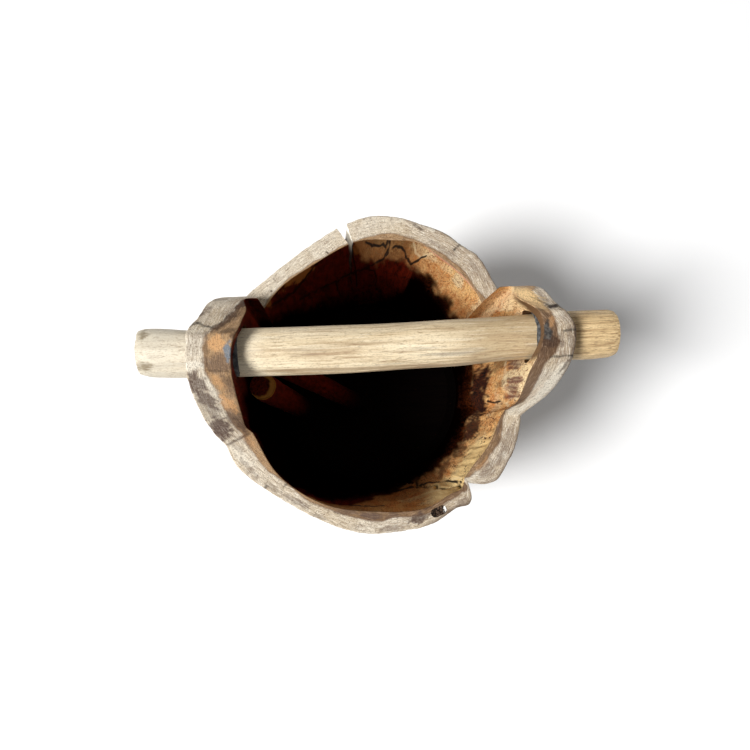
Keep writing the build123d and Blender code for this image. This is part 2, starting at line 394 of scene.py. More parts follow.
# %% [markdown]
# The log as one ring-shaped grid. A column is one angle round the log. Its rows go up the outside, across
# the sawn face, down the hollow, round the groove that holds the board, and back under the foot. The saw's
# arrises are worn a little round. Vertical ridges and shallow lumps are taken off the outside, so that the
# log never grows past its real size.

# %% The log's grid
around_count = 864
outer_rows = 20
sawn_rows = 36
hollow_rows = 43
outer_wear = 1.5 * mm
inner_wear = 1.0 * mm
foot_wear = 1.5 * mm
seam_depth = 4.0 * mm
seam_width = 1.4 * mm
seam_rim_angle = 304.5
seam_foot_angle = 283.0


def worn(distance, wear):
    """How far a worn arris drops, at a distance from the edge: a quarter circle of the wear's radius."""
    inside = np.clip(1 - distance / wear, 0, 1)
    return wear * (1 - np.sqrt(1 - inside**2))


def seam_angle(heights):
    """Where the fold's seam runs on the hollow's wall: it drifts round as it goes down, with a wiggle."""
    share = np.clip(heights / rim_height, 0, 1)
    drift = seam_foot_angle + (seam_rim_angle - seam_foot_angle) * share
    return drift + 1.3 * np.sin(share * 23) + 0.7 * np.sin(share * 51 + 1)


def angle_from(angles, middle):
    """How far round the log angles lie from a middle one, -180 to 180 degrees."""
    return (angles - middle + 180) % 360 - 180


def seam_nearness(angles, heights):
    """1 on the fold's seam and 0 away from it."""
    off = angle_from(angles, seam_angle(heights))
    return np.exp(-((np.radians(off) * bore_radius / seam_width) ** 2))


def ring_points(angles, radii, heights):
    """Points of the plan's polar coordinates, as an array of x, y, z."""
    turn = np.radians(angles)
    return xyz(radii * np.cos(turn), radii * np.sin(turn), heights)


counts = [round(around_count * (table[-1][0] - table[0][0]) / 360) for table in lobes]
around = np.concatenate(
    [np.linspace(table[0][0], table[-1][0], count, endpoint=False) for table, count in zip(lobes, counts)]
)[None, :]


def outside_rows():
    """Up the bark side: ridges along the grain, 2 mm deep at most, and softer lumps, both cut inwards."""
    share = np.linspace(0, 1, outer_rows)[:, None]
    edge = ring_points(around, bark_radius(around, ear_height), np.zeros_like(around))
    top = saw_height(edge[..., 0], edge[..., 1]) - outer_wear
    heights = foot_wear + share * (top - foot_wear)
    radii = bark_radius(around, heights)
    places = ring_points(around, radii, heights)
    ridges = waves(places * [1, 1, 0.10], 13 * mm, 11)
    fine = waves(places * [1, 1, 0.07], 5 * mm, 12)
    lumps = waves(places * [1, 1, 0.45], 60 * mm, 13)
    away = smooth(0, 0.25, 1 - share) * 0.65 + 0.35
    radii = radii - away * mm * (1.6 + 0.6 * ridges + 0.35 * fine + 0.6 * lumps)
    return ring_points(around, radii, heights)


def sawn_face_rows(outer_edge):
    """Across the saw cut, from the bark side to the hollow, dropping round at both arrises."""
    share = (1 - np.cos(np.linspace(0, np.pi, sawn_rows + 1)[1:, None])) / 2
    share = 0.6 * share + 0.4 * np.linspace(0, 1, sawn_rows + 1)[1:, None]
    start = np.hypot(outer_edge[..., 0], outer_edge[..., 1])[None, :]
    end = hollow_radius(around, ear_height)
    radii = start + share * (end - start)
    flat = ring_points(around, radii, np.zeros_like(radii))
    wall = start - end
    drop = worn(share * wall, outer_wear) + worn((1 - share) * wall, inner_wear)
    sawn = 0.35 * mm * (1 + 0.5 * waves(flat, 30 * mm, 21) + 0.25 * waves(flat, 7 * mm, 22))
    flat[..., 2] = saw_height(flat[..., 0], flat[..., 1]) - drop - np.clip(sawn, 0, None)
    return flat


def hollow_rows_down(inner_edge):
    """Down the hollow: gouged unevenly along the grain, with the fold's seam as a narrow groove."""
    even = np.linspace(0, 1, hollow_rows + 1)[1:, None]
    share = 0.30 * even + 0.70 * even**2.4
    top = inner_edge[None, :, 2]
    heights = top + share * (trued_height - top)
    places = ring_points(around, hollow_radius(around, heights), heights)
    gouged = waves(places * [1, 1, 0.35], 22 * mm, 31) + 0.5 * waves(places * [1, 1, 0.25], 8 * mm, 32)
    rough = window(around, 292, 325, 330, 352) + 0.4
    radii = hollow_radius(around, heights) + 0.7 * mm * gouged * rough * smooth(0, 0.06, share)
    radii = radii + seam_depth * seam_nearness(around, heights)
    return ring_points(around, radii, heights)


def foot_rows():
    """The trued bore with the board's groove, and the foot that stands on the ground."""
    outer = bark_radius(around, 0)
    groove_top, groove_floor = groove_height + groove_width, bore_radius + groove_depth
    sections = [
        (bore_radius, trued_height - 0.5 * mm), (bore_radius, 46 * mm), (bore_radius, groove_top),
        (groove_floor, groove_top), (groove_floor, groove_height), (bore_radius, groove_height),
        (bore_radius, foot_wear), (bore_radius + foot_wear, 0.0),
    ]
    rows = [ring_points(around, np.full_like(around, radius), z) for radius, z in sections]
    rows.append(ring_points(around, (outer + bore_radius) / 2, np.zeros_like(around)))
    rows.append(ring_points(around, outer - 2 * foot_wear, np.zeros_like(around)))
    return np.concatenate(rows)


outside = outside_rows()
sawn_face = sawn_face_rows(outside[-1])
hollow = hollow_rows_down(sawn_face[-1])
foot = foot_rows()
log_grid = np.concatenate([outside, sawn_face, hollow, foot])
outer_finish, sawn_finish, hollow_finish, torn_finish = range(4)
row_finish = np.array(
    [outer_finish] * (len(outside) - 1) + [sawn_finish] * len(sawn_face)
    + [hollow_finish] * (len(hollow) + len(foot) - 2) + [sawn_finish] * 2 + [outer_finish]
)
log_shell = closed_surface("log_shell", log_grid, ring=True, material_rows=row_finish)
print("log grid", log_grid.shape)

# %% [markdown]
# The holes, the drying split, the knot's hole and the cracks are carved out of the log. Each cutter is a
# closed grid as well, with a Boolean of its own, and all are taken out before any paint is worked out.

# %% What is carved out of the log
hole_reach = 195 * mm
hole_inner = 105 * mm
split_inner_angle = 99.0
split_radius_share = 0.817
split_direction = 116.0
split_inner_width = 1.6 * mm
split_outer_width = 11.0 * mm
split_run = 23.0 * mm
split_depth = 190.0 * mm
split_foot_share = 0.055
knot_angle = 290.5
knot_length = 16.0 * mm
knot_width = 8.6 * mm
knot_depth = 20.0 * mm
overrun = 12.0 * mm


def hole_offset(side):
    """Where the bent pole passes an ear, across the bucket."""
    return pole_offset + pole_radius * (left_ear_sway_share if side < 0 else right_ear_sway_share)


def hole_grid(side):
    """A bore along X whose radius wanders by half a millimetre, as a hole made with a gouge does."""
    turn = full_turn(84)
    x = np.linspace(hole_inner, hole_reach, 18)[:, None] * side
    still = xyz(x, np.cos(turn) * hole_radius, np.sin(turn) * hole_radius)
    radius = hole_radius + 0.45 * mm * waves(still, 26 * mm, 40 + side)
    return xyz(x, hole_offset(side) + radius * np.cos(turn), hole_height + radius * np.sin(turn))


def crevice_grid(start, direction, run, near_width, far_width, low, high, seed, foot_share=0.3):
    """A wedge-shaped crevice: a plan that widens along its run, wanders, and narrows with depth."""
    along = np.linspace(0, 1, 14)
    there, back = along[None, :], along[None, ::-1]
    heights = np.linspace(low, high, 16)[:, None]
    narrowing = foot_share + (1 - foot_share) * np.linspace(0, 1, 16)[:, None]
    turn = math.radians(direction)
    ahead, aside = np.array([math.cos(turn), math.sin(turn)]), np.array([-math.sin(turn), math.cos(turn)])

    def bank(share, sign):
        share, level = np.broadcast_arrays(share, heights)
        half = (near_width + (far_width - near_width) * share) * narrowing / 2
        places = xyz(share * run, sign * mm, level)
        wander = 0.5 * mm * waves(places * [1, 0, 0.5], 11 * mm, seed)
        ragged = np.minimum(0.3 * mm, 0.35 * half) * waves(places, 5 * mm, seed + 1)
        offset = sign * (half + ragged) + wander * smooth(0, 0.2, share)
        plan = np.array(start)[:2] + (share * run)[..., None] * ahead + offset[..., None] * aside
        return np.concatenate([plan, level[..., None]], -1)

    return np.concatenate([bank(there, -1), bank(back, 1)], 1)


def slot_grid(middle, angle, length, width, low, high):
    """A slot with round ends, its long way at the given angle."""
    turn = full_turn(40)[0]
    straight = np.where(np.cos(turn) > 0, 1, -1) * (length - width) / 2
    plan = np.stack([straight + width / 2 * np.cos(turn), width / 2 * np.sin(turn)], -1)
    lean = math.radians(angle)
    turned = plan @ np.array([[math.cos(lean), math.sin(lean)], [-math.sin(lean), math.cos(lean)]])
    heights = np.linspace(low, high, 8)
    grid = np.zeros((8, 40, 3))
    grid[..., :2] = turned + np.array(middle)[:2]
    grid[..., 2] = heights[:, None]
    return grid


def polar(radius, angle):
    return np.array([radius * math.cos(math.radians(angle)), radius * math.sin(math.radians(angle))])


knot_bark, knot_cave = (radius([knot_angle], rim_height)[0] for radius in (bark_radius, hollow_radius))
knot_middle = polar((knot_bark + knot_cave) / 2, knot_angle)
split_start = polar(trunk_radius * split_radius_share, split_inner_angle)
split_back = overrun / 2
split_reach = split_run + overrun
split_far_width = split_inner_width + (split_outer_width - split_inner_width) * split_reach / split_run
split_grid = crevice_grid(
    split_start - polar(split_back, split_direction), split_direction, split_reach + split_back,
    split_inner_width, split_far_width, rim_height - split_depth, rim_height + overrun, 50, split_foot_share,
)
knot_hole = slot_grid(
    knot_middle, knot_angle + 90, knot_length, knot_width, rim_height - knot_depth, rim_height + overrun
)
cutters = [hole_grid(-1), hole_grid(1), split_grid, knot_hole]

# %% [markdown]
# The smaller cracks are named by their two ends in the photograph, the outer end first, their width at that
# end and their depth, both in mm.

# %% The cracks
finish_names = ("outer_wood", "sawn_wood", "hollow_wood", "torn_wood")
crack_ends_px = {
    "left_ear_shoulder": ((184, 328), (213, 325), 2.6, 30),
    "right_ear_far": ((562, 307), (546, 305), 3.0, 34),
    "right_ear_near": ((577, 355), (551, 357), 1.3, 26),
    "right_ear_top": ((577, 329), (564, 331), 0.8, 14),
    "far_rim": ((463, 242), (454, 250), 0.7, 12),
}


def crack_grid(outer_px, inner_px, width_mm, depth_mm, seed):
    """A crack that opens towards the bark: widest at its outer end, closed at its inner end."""
    outer, inner = on_saw(outer_px), on_saw(inner_px)
    run = outer[:2] - inner[:2]
    length = float(np.hypot(*run)) + 5 * mm
    direction = math.degrees(math.atan2(run[1], run[0]))
    top = max(outer[2], inner[2])
    low = min(outer[2], inner[2]) - depth_mm * mm
    return crevice_grid(inner, direction, length, 0.15 * mm, width_mm * mm, low, top + overrun, seed)


for number, (outer_px, inner_px, width_mm, depth_mm) in enumerate(crack_ends_px.values()):
    cutters.append(crack_grid(outer_px, inner_px, width_mm, depth_mm, 60 + 2 * number))


def carve(piece, grids, finish):
    """Takes closed grids out of a piece, and gives the new walls the finish with that number."""
    tools = [closed_surface("cutter", grid) for grid in grids]
    for tool in tools:
        indices = np.full(len(tool.data.polygons), finish, np.int32)
        tool.data.polygons.foreach_set("material_index", indices)
        cut = piece.modifiers.new("carve", "BOOLEAN")
        cut.operation = "DIFFERENCE"
        cut.solver = "MANIFOLD"
        cut.object = tool
    bpy.context.view_layer.update()
    carved = piece.evaluated_get(bpy.context.evaluated_depsgraph_get())
    mesh = bpy.data.meshes.new_from_object(carved)
    piece.modifiers.clear()
    piece.data = mesh
    for tool in tools:
        bpy.data.objects.remove(tool)


faces_before = len(log_shell.data.polygons)
for finish_name in finish_names:
    log_shell.data.materials.append(bpy.data.materials.new(finish_name))
carve(log_shell, cutters, torn_finish)
for number, finish_name in enumerate(finish_names):
    log_shell.data.materials[number] = bpy.data.materials[finish_name]
print("carved", faces_before, "->", len(log_shell.data.polygons), "faces")

# %% [markdown]
# Paint for the log is worked out on its finished vertices, as plain numbers that the shaders read: how deep
# a point lies under the bark, how much of it is heartwood, where the weather greyed it, and so on. A wood
# texture alone can't know that the rings follow this trunk's own flutes. Tables by angle say how each number
# changes round the log.

# %% Where every vertex of the log lies
def positions(piece):
    """The piece's vertices as an array of x, y, z."""
    values = np.empty(3 * len(piece.data.vertices), np.float32)
    piece.data.vertices.foreach_get("co", values)
    return values.reshape(-1, 3).astype(float)


def paint(piece, name, values):
    """Stores one number for each vertex, for the shaders."""
    layer = piece.data.attributes.new(name, "FLOAT", "POINT")
    layer.data.foreach_set("value", np.asarray(values, np.float32))


def by_angle(table, angles):
    """A table of (angle, value) rows read all round the log, the last row joining the first."""
    knots = np.array([row[0] for row in table], float)
    values = np.array([row[1] for row in table], float)
    return np.interp(table_angle(angles), knots, values)


places = positions(log_shell)
angles = angle_of(places[:, 0], places[:, 1])
radii = np.hypot(places[:, 0], places[:, 1])
heights = places[:, 2]
under_bark = bark_radius(angles, heights) - radii
wall = bark_radius(angles, heights) - hollow_radius(angles, heights)
wall_share = under_bark / wall
print("vertices", len(places), "deepest under the bark", round(float(under_bark.max() / mm), 1), "mm")

# %% Rings, heartwood and grey weathering
heart_line_px = [
    (485, 298), (476, 289), (470, 280), (466, 273), (460, 266), (452, 261), (445, 255), (436, 250),
    (428, 246), (417, 240), (408, 237), (400, 234), (390, 233), (380, 234), (368, 237), (356, 241),
    (347, 243.5), (330, 252.5), (320, 259), (302, 270), (290, 277), (279, 288), (270, 297.5), (265, 305),
    (244, 299), (238, 307), (229, 317), (221, 324), (213, 329), (207, 334), (204, 338), (203, 346),
    (203, 354), (203, 362), (204, 368), (208, 376), (213, 384), (217, 392), (220, 400), (224, 410),
    (230, 419), (236, 427), (242, 433), (246, 441), (253, 452), (260, 462), (268, 470), (278, 477.5),
    (292, 488), (305, 498), (318, 505), (329, 510), (345, 515), (358, 518), (372, 521), (383, 521),
    (393, 517), (408, 517), (428, 513), (448, 502), (455, 497), (462, 492), (468, 487), (463, 480),
    (469, 478), (476, 472), (484, 464), (490, 457), (496, 448), (500, 440), (502, 430), (503, 420),
    (506, 411), (514, 406), (524, 401), (529, 395), (535, 385), (541, 374), (545, 364), (551, 358),
    (557, 351), (559, 342), (558, 333), (557, 323), (554, 315), (551, 311), (547, 307), (543, 304),
    (537, 297), (531, 292), (524, 288), (519, 286),
]
heart_brown_shares = [
    (31, 0.45), (62, 0.45), (97, 0.30), (101, 0.15), (148, 0.20), (150, 0.50), (160, 0.45), (172, 0.20),
    (180, 0.35), (190, 0.30), (200, 0.50), (206, 0.30), (235, 0.35), (250, 0.55), (262, 0.75), (285, 0.72),
    (297, 0.85), (305, 0.90), (307, 0.60), (325, 0.70), (338, 0.75), (345, 0.85), (352, 0.80), (360, 0.95),
    (369, 0.90), (373, 0.80), (376, 0.15), (384, 0.0), (391, 0.0),
]
sap_grey_shares = [
    (31, 0.75), (50, 0.80), (66, 0.60), (80, 0.20), (97, 0.05), (130, 0.08), (147, 0.15), (150, 0.75),
    (163, 0.50), (170, 0.08), (186, 0.10), (196, 0.25), (203, 0.35), (207, 0.15), (214, 0.15), (235, 0.30),
    (250, 0.25), (265, 0.30), (280, 0.45), (292, 0.80), (303, 0.85), (307, 0.35), (315, 0.65), (330, 0.75),
    (338, 0.40), (342, 0.15), (350, 0.15), (355, 0.30), (358, 0.80), (368, 0.85), (372, 0.60), (378, 0.40),
    (391, 0.60),
]
# How strongly painted shade darkens the outer arris of the sawn face, by angle.
arris_shade_shares = [
    (31, 0.6), (60, 0.6), (75, 0.35), (90, 0.05), (280, 0.05), (286, 0.6), (303, 0.9), (307, 0.2),
    (318, 0.7), (335, 0.6), (343, 0.2), (350, 0.5), (354, 1.0), (370, 1.0), (376, 0.3), (391, 0.3),
]


def face_place(pixel):
    """A pixel's point on the sawn face: its angle, and how far it lies from the bark to the hollow."""
    x, y, z = on_saw(pixel)
    angle = float(table_angle(angle_of(x, y)))
    bark, cave = bark_radius([angle], z)[0], hollow_radius([angle], z)[0]
    return angle, (bark - math.hypot(x, y)) / (bark - cave)


ring_warp = 1.0 * mm * waves(places * [1, 1, 0.15], 42 * mm, 70)
ring_warp += 0.25 * mm * waves(places * [1, 1, 0.2], 11 * mm, 71)
edge_wander = 0.5 * mm * waves(places * [1, 1, 0.2], 24 * mm, 72) + 0.25 * mm * waves(places, 7 * mm, 73)
heart_edge_table = sorted(face_place(pixel) for pixel in heart_line_px)
from_heart = (wall_share - by_angle(heart_edge_table, angles)) * wall - edge_wander
paint(log_shell, "ring_mm", (under_bark + ring_warp) / mm)
paint(log_shell, "round_mm", (table_angle(angles) - first_angle) * math.radians(1) * trunk_radius / mm)
paint(log_shell, "heart", smooth(-0.5 * mm, 0.7 * mm, from_heart))
paint(log_shell, "heart_line", np.exp(-((from_heart / (0.8 * mm)) ** 2)))
paint(log_shell, "heart_brown", by_angle(heart_brown_shares, angles))
paint(log_shell, "sap_grey", by_angle(sap_grey_shares, angles))
paint(log_shell, "arris", by_angle(arris_shade_shares, angles) * smooth(4.6 * mm, 1.4 * mm, under_bark))
print("heartwood on", int((from_heart > 0).sum()), "vertices")

# %% [markdown]
# Single marks, such as stains, smears of putty, knots and spalting lines, are named by their pixels in the
# photograph and dropped onto the surface that shows them. Distances are measured in space, so a mark keeps
# its real width whatever way its surface leans.

# %% Marks on the sawn faces


def blot(points, middle, across, along, lean, seed):
    """1 in the middle of a ragged oval in plan and 0 outside it: its half width, half length and lean."""
    turn = math.radians(lean)
    offset = points[:, :2] - np.asarray(middle)[:2]
    first = offset @ np.array([math.cos(turn), math.sin(turn)]) / along
    second = offset @ np.array([-math.sin(turn), math.cos(turn)]) / across
    ragged = 0.22 * waves(points, 7 * mm, 200 + seed) + 0.12 * waves(points, 3 * mm, 300 + seed)
    return smooth(1.15, 0.65, np.hypot(first, second) + ragged)


def near_path(points, path, width, wander, seed):
    """1 on a path of points in space, which wanders a little, and 0 away from it, fading over the width."""
    moved = points + wander * np.stack([waves(points, 6 * mm, 400 + seed + axis) for axis in range(3)], -1)
    nearest = np.full(len(points), 1.0)
    for start, end in zip(path[:-1], path[1:]):
        step = end - start
        share = np.clip((moved - start) @ step / (step @ step + 1e-12), 0, 1)
        nearest = np.minimum(nearest, np.linalg.norm(moved - start - share[:, None] * step, axis=1))
    return np.exp(-((nearest / width) ** 2))


def most(layers):
    """The strongest of several marks at each point."""
    return np.max(layers, axis=0)


patches_px = {
    "stain": [
        ((195, 382), 8, 10, -60, 0.85), ((204, 397), 7, 12, -62, 0.80), ((212, 410), 5, 10, -60, 0.40),
        ((221, 429), 10, 12, -42, 0.95), ((193, 345), 5, 10, 90, 0.18), ((203, 311), 5, 8, 40, 0.55),
        ((197, 335), 3, 8, 0, 0.35), ((218, 363), 8, 13, 0, 0.55), ((228, 386), 5, 9, -70, 0.45),
        ((233, 418), 6, 9, -60, 0.60), ((237, 447), 3, 10, -45, 0.3), ((247, 441), 4, 7, -45, 0.4),
        ((570, 335), 3, 14, 90, 0.45), ((566, 318), 3, 9, -60, 0.3), ((489, 470), 5, 12, 45, 0.35),
        ((463, 503), 5, 9, 35, 0.4), ((508, 441), 6, 16, 68, 0.3), ((215, 300), 2, 9, 5, 0.35),
        ((234, 309), 3, 8, 50, 0.40), ((226, 312), 3, 7, 50, 0.25), ((248, 467), 3, 15, -48, 0.40),
        ((272, 487), 3, 9, -40, 0.35), ((296, 501), 3, 16, -30, 0.45), ((319, 517), 2.5, 9, -22, 0.40),
        ((345, 512), 3, 14, -6, 0.55), ((371, 516), 3.5, 12, -3, 0.75), ((395, 515), 3, 8, 8, 0.50),
        ((394, 528), 3, 14, 5, 0.40), ((360, 526), 2.5, 10, -3, 0.15), ((419, 518), 4.5, 12, 14, 0.85),
        ((455, 508), 3, 12, 30, 0.25), ((503, 452), 4, 15, 62, 0.40), ((514, 430), 2.5, 12, 80, 0.25),
        ((499, 428), 1.6, 10, 72, 0.60), ((562, 340), 3, 8, 90, 0.50), ((563, 352), 2, 8, 0, 0.20),
        ((543, 297), 3, 8, -45, 0.35), ((440, 247), 2.5, 16, -35, 0.30), ((215, 364), 5.5, 11, 0, 0.60),
        ((478, 271), 4, 16, -58, 0.22), ((240, 425), 5, 9, -55, 0.55),
    ],
    # Near-black marks: dark spots on the wood, and painted shade in gaps and crack mouths.
    "dark_mark_and_shade": [
        ((238, 314), 4, 9, 62, 0.45), ((275, 280), 0.6, 4, -45, 0.6), ((240, 438), 1.0, 15, 22, 0.75),
        ((206, 344), 1.8, 9, 90, 0.50), ((216, 371), 1.0, 12, -5, 0.60), ((231, 383), 3, 10, -75, 0.40),
        ((241, 425), 4, 9, -55, 0.55), ((241, 305), 4.0, 8, 58, 1.0), ((231, 316), 3.6, 11, 48, 0.9),
        ((219, 326), 3.4, 9, 36, 0.9), ((226, 331), 2.6, 10, 8, 0.65), ((233, 335), 2.5, 4, 60, 0.70),
        ((240, 439), 1.2, 15, 25, 0.55), ((418, 227), 1.6, 7, -35, 0.65), ((338, 229), 1.2, 1.6, 0, 0.9),
        ((327, 252), 1.2, 3.2, -45, 0.95), ((364, 219), 1.0, 1.2, 0, 0.8), ((370, 218), 0.8, 1.2, 0, 0.6),
        ((271, 291), 0.8, 0.9, 0, 0.8), ((419, 518), 3.5, 10, 14, 0.35), ((550, 342), 7, 8, 0, 0.95),
        ((547, 352), 3, 7, 55, 0.35), ((543, 312), 2.2, 9, -40, 0.55), ((513, 404), 3, 10, 25, 0.50),
        ((201, 314), 1.5, 3, 40, 0.7), ((428, 507), 3, 6, 20, 0.6), ((554, 306), 1.7, 6, 14, 1.0),
        ((206, 350), 1.2, 20, 90, 0.6), ((576, 333), 1.6, 18, 90, 0.8), ((566, 364), 1.6, 8, 62, 0.7),
        ((545, 303), 1.2, 14, -38, 0.55), ((243, 418), 2, 8, -60, 0.5),
    ],
    "orange": [
        ((216, 344), 7, 9, 90, 0.70), ((219, 383), 4, 8, -50, 0.50), ((229, 405), 6, 8, -60, 0.80),
        ((552, 321), 3, 6, 70, 0.40), ((536, 391), 3, 8, 62, 0.12), ((249, 441), 4, 7, -45, 0.35),
        ((482, 464), 2.5, 10, 45, 0.25),
    ],
    "slate": [((228, 351), 3.4, 10.5, 92, 1.0)],
    "tan": [((528, 295), 6.5, 16, -38, 0.9), ((541, 305), 4, 8, -45, 0.5), ((519, 290), 4, 8, 0, 0.6)],
    "bleached": [
        ((217, 395), 3, 16, -62, 0.45), ((193, 366), 4, 10, 5, 0.80), ((240, 455), 5, 14, -50, 0.6),
        ((213, 305), 6, 9, 20, 0.3), ((222, 303), 5, 10, 30, 0.3), ((432, 229), 2.6, 5, -25, 0.75),
        ((554, 380), 7, 18, 63, 0.80), ((527, 405), 3, 10, 30, 0.70), ((513, 411), 4, 5, 0, 0.40),
        ((392, 220), 3, 20, 0, 0.25), ((474, 475), 3, 6, 35, 0.35), ((200, 338), 6, 6, 0, 0.25),
        ((560, 313), 3, 6, 0, 0.30),
    ],
}
sawn_lines_px = [
    [(186, 328), (193, 324), (199, 323), (205, 326), (212, 327)], [(187, 326), (194, 322), (200, 322)],
    [(548, 307), (559, 304)], [(454, 250), (463, 242)], [(281, 492), (284, 486), (287, 484)],
    [(264, 489), (266, 486)], [(551, 357), (577, 355)], [(562, 307), (546, 305)], [(549, 305), (558, 304)],
    [(549, 307), (557, 306.5)], [(564, 331), (576, 329)],
]
putty_smears_px = [((547, 330), 5.5, 8.0, 100, 1.0)]
marks_reach = 12 * mm
sawn_line_width = 1.0 * mm
near_top = heights > rim_height - marks_reach


def patch_strength(rows, seed):
    """The strongest of some ragged ovals on the sawn faces. A row is one oval's middle pixel, its half width
    and half length in mm, its lean in degrees and its strength."""
    layers = [
        strength * blot(places, on_saw(pixel), across * mm, along * mm, lean, seed + number)
        for number, (pixel, across, along, lean, strength) in enumerate(rows)
    ]
    return most(layers) * near_top


def sawn_path(path, seed):
    return near_path(places, [on_saw(pixel) for pixel in path], sawn_line_width, 0.3 * mm, seed)


for number, (tone, rows) in enumerate(patches_px.items()):
    paint(log_shell, tone, patch_strength(rows, 40 * number))
paint(log_shell, "sawn_line", most([sawn_path(path, number) for number, path in enumerate(sawn_lines_px)]))
paint(log_shell, "putty_smear", patch_strength(putty_smears_px, 170))

# %% [markdown]
# Down the hollow's wall the gold wood, partly painted light, ends at one line, and black, painted shade,
# begins at another. Both are pixels that are dropped onto the wall, and where no gold shows, a height above
# the rim keeps it away. Patches and lines are dropped in the same way.

# %% The hollow's own marks
gold_ends_px = [
    (362, 258), (375, 262), (388, 258), (400, 262), (411, 264), (420, 270), (430, 280), (437, 290),
    (445, 298), (452, 310), (460, 318), (476, 372), (474, 385), (470, 400), (469, 420), (462, 440),
    (452, 455), (440, 468), (428, 474), (415, 480), (402, 488), (388, 494), (366, 501), (345, 506),
]
no_gold_mm = [(101, 340), (150, 400), (204, 400), (225, 345)]
black_from_px = [
    (262, 320), (272, 318), (285, 312), (300, 310), (330, 302), (360, 298), (390, 298), (405, 290),
    (413, 272), (422, 277), (432, 288), (440, 298), (448, 312), (470, 372), (466, 385), (462, 400),
    (463, 420), (455, 440), (445, 455), (432, 466), (415, 478), (400, 486), (380, 493), (350, 500),
    (320, 498), (290, 485), (262, 462), (248, 425), (243, 400),
]
dull_shares = [
    (31, 0.0), (58, 0.05), (66, 0.2), (71, 0.55), (76, 0.85), (98, 0.92), (245, 0.9), (262, 0.60),
    (275, 0.10), (290, 0.10), (297, 0.0), (391, 0.0),
]
# The pale spots are partly pale wood, and mostly painted light and painted highlights where the wall shows
# bright.
wall_patches_px = {
    "pale": [
        ((520, 376), 21, 80, 1.0), ((459, 281), 8, 20, 0.9), ((488, 308), 10, 40, 0.6),
        ((512, 302), 14, 36, 0.75), ((440, 494), 17, 26, 1.0), ((418, 498), 16, 14, 0.8),
        ((497, 408), 13, 24, 0.5), ((468, 472), 8, 14, 0.4), ((425, 252), 13, 18, 0.6),
        ((446, 268), 9, 12, 0.4), ((492, 438), 10, 12, 0.4), ((493, 299), 9, 45, 0.7),
        ((461, 480), 6, 7, 1.0), ((480, 442), 9, 20, 0.5), ((454, 474), 9, 14, 0.6),
    ],
    "figured": [
        ((476, 396), 30, 52, 1.0), ((472, 428), 18, 44, 0.95), ((460, 449), 11, 34, 0.7),
        ((444, 468), 12, 24, 0.6), ((500, 364), 7, 34, 0.55), ((483, 377), 14, 36, 1.0),
        ((392, 499), 24, 20, 0.25), ((500, 384), 4, 20, 0.4),
    ],
    "brown_field": [((298, 277), 17, 20, 0.85), ((268, 302), 5, 20, 0.5), ((362, 246), 9, 30, 0.4)],
    "purple": [((514, 363), 3.6, 30, 0.45), ((513, 384), 5.5, 34, 0.45), ((512, 395), 4.5, 26, 0.5)],
}
wall_lines_px = {
    "spalt": [
        [(366, 242), (372, 246), (379, 246), (383, 244), (386, 247), (388, 240)],
        [(390, 241), (389, 247), (387, 252), (384, 258), (378, 262), (370, 266), (362, 270), (355, 272)],
        [(355, 272), (343, 277), (338, 281), (325, 286), (312, 292), (300, 299)],
        [(386, 256), (390, 250), (394, 246), (399, 246), (404, 250), (407, 258), (411, 264)],
        [(411, 264), (416, 262), (421, 258), (426, 256)], [(352, 249), (354, 262), (356, 275), (357, 286)],
        [(336, 283), (338, 291), (341, 297)], [(366, 269), (374, 271), (377, 279), (374, 287), (381, 292)],
        [(284, 300), (296, 290), (308, 275), (318, 261)], [(488, 401), (494, 403), (500, 401)],
        [(272, 305), (281, 300), (290, 294)], [(350, 505), (366, 506), (384, 506)],
    ],
    "fold_line": [[(392, 492), (404, 489), (417, 486), (429, 482.5), (448, 481), (460, 482), (470, 484.5)]],
    "light_line": [
        [(413, 243), (416, 253), (421, 257), (430, 254), (437, 252)], [(451, 479), (459, 478), (467, 480)],
        [(398, 501), (412, 498), (426, 493), (440, 490), (452, 488)],
        [(500, 308), (503, 300), (507, 293), (512, 290)], [(486, 312), (495, 309), (503, 310)],
        [(505, 356), (505, 370), (506, 384)],
    ],
    "purple_line": [
        [(508, 361), (521, 360)], [(509, 364), (520, 365)], [(509, 368), (518, 368)],
        [(507, 379), (520, 378)], [(507, 382), (521, 381)], [(508, 387), (519, 388)],
        [(510, 391), (518, 392)], [(506, 397), (518, 396)],
    ],
}
wall_squeeze = 0.2
wall_line_width = 1.25 * mm


def wall_table(pixels, rows):
    """Heights in mm by angle of pixels dropped onto the hollow's wall, with rows given as they are."""
    spots = [on_hollow(pixel) for pixel in pixels]
    return sorted(rows + [(float(table_angle(angle_of(x, y))), z / mm) for x, y, z in spots])


dark_below_mm = wall_table(gold_ends_px, no_gold_mm)
black_below_mm = wall_table(black_from_px, [])
signed = angle_from(angles, 0)
height_mm = heights / mm
upright_places = places * [1, 1, 0.3]


def wall_spot(pixel, along, up, seed):
    """1 in a ragged oval on the hollow's wall: its half width round the wall and its half height, in mm."""
    middle = on_hollow(pixel)
    turned = angle_from(angles, angle_of(middle[0], middle[1]))
    ragged = 0.25 * waves(upright_places, 9 * mm, seed) + 0.12 * waves(upright_places, 3 * mm, seed + 50)
    away = np.hypot(np.radians(turned) * bore_radius / (along * mm), (heights - middle[2]) / (up * mm))
    return smooth(1.15, 0.7, away + ragged)


def wall_line(path_px, seed):
    """1 on a line of the wall. The camera looks along the wall, so heights count for a fifth."""
    squeeze = np.array([1, 1, wall_squeeze])
    path = [on_hollow(pixel) * squeeze for pixel in path_px]
    return near_path(places * squeeze, path, wall_line_width, 0.4 * mm, seed)


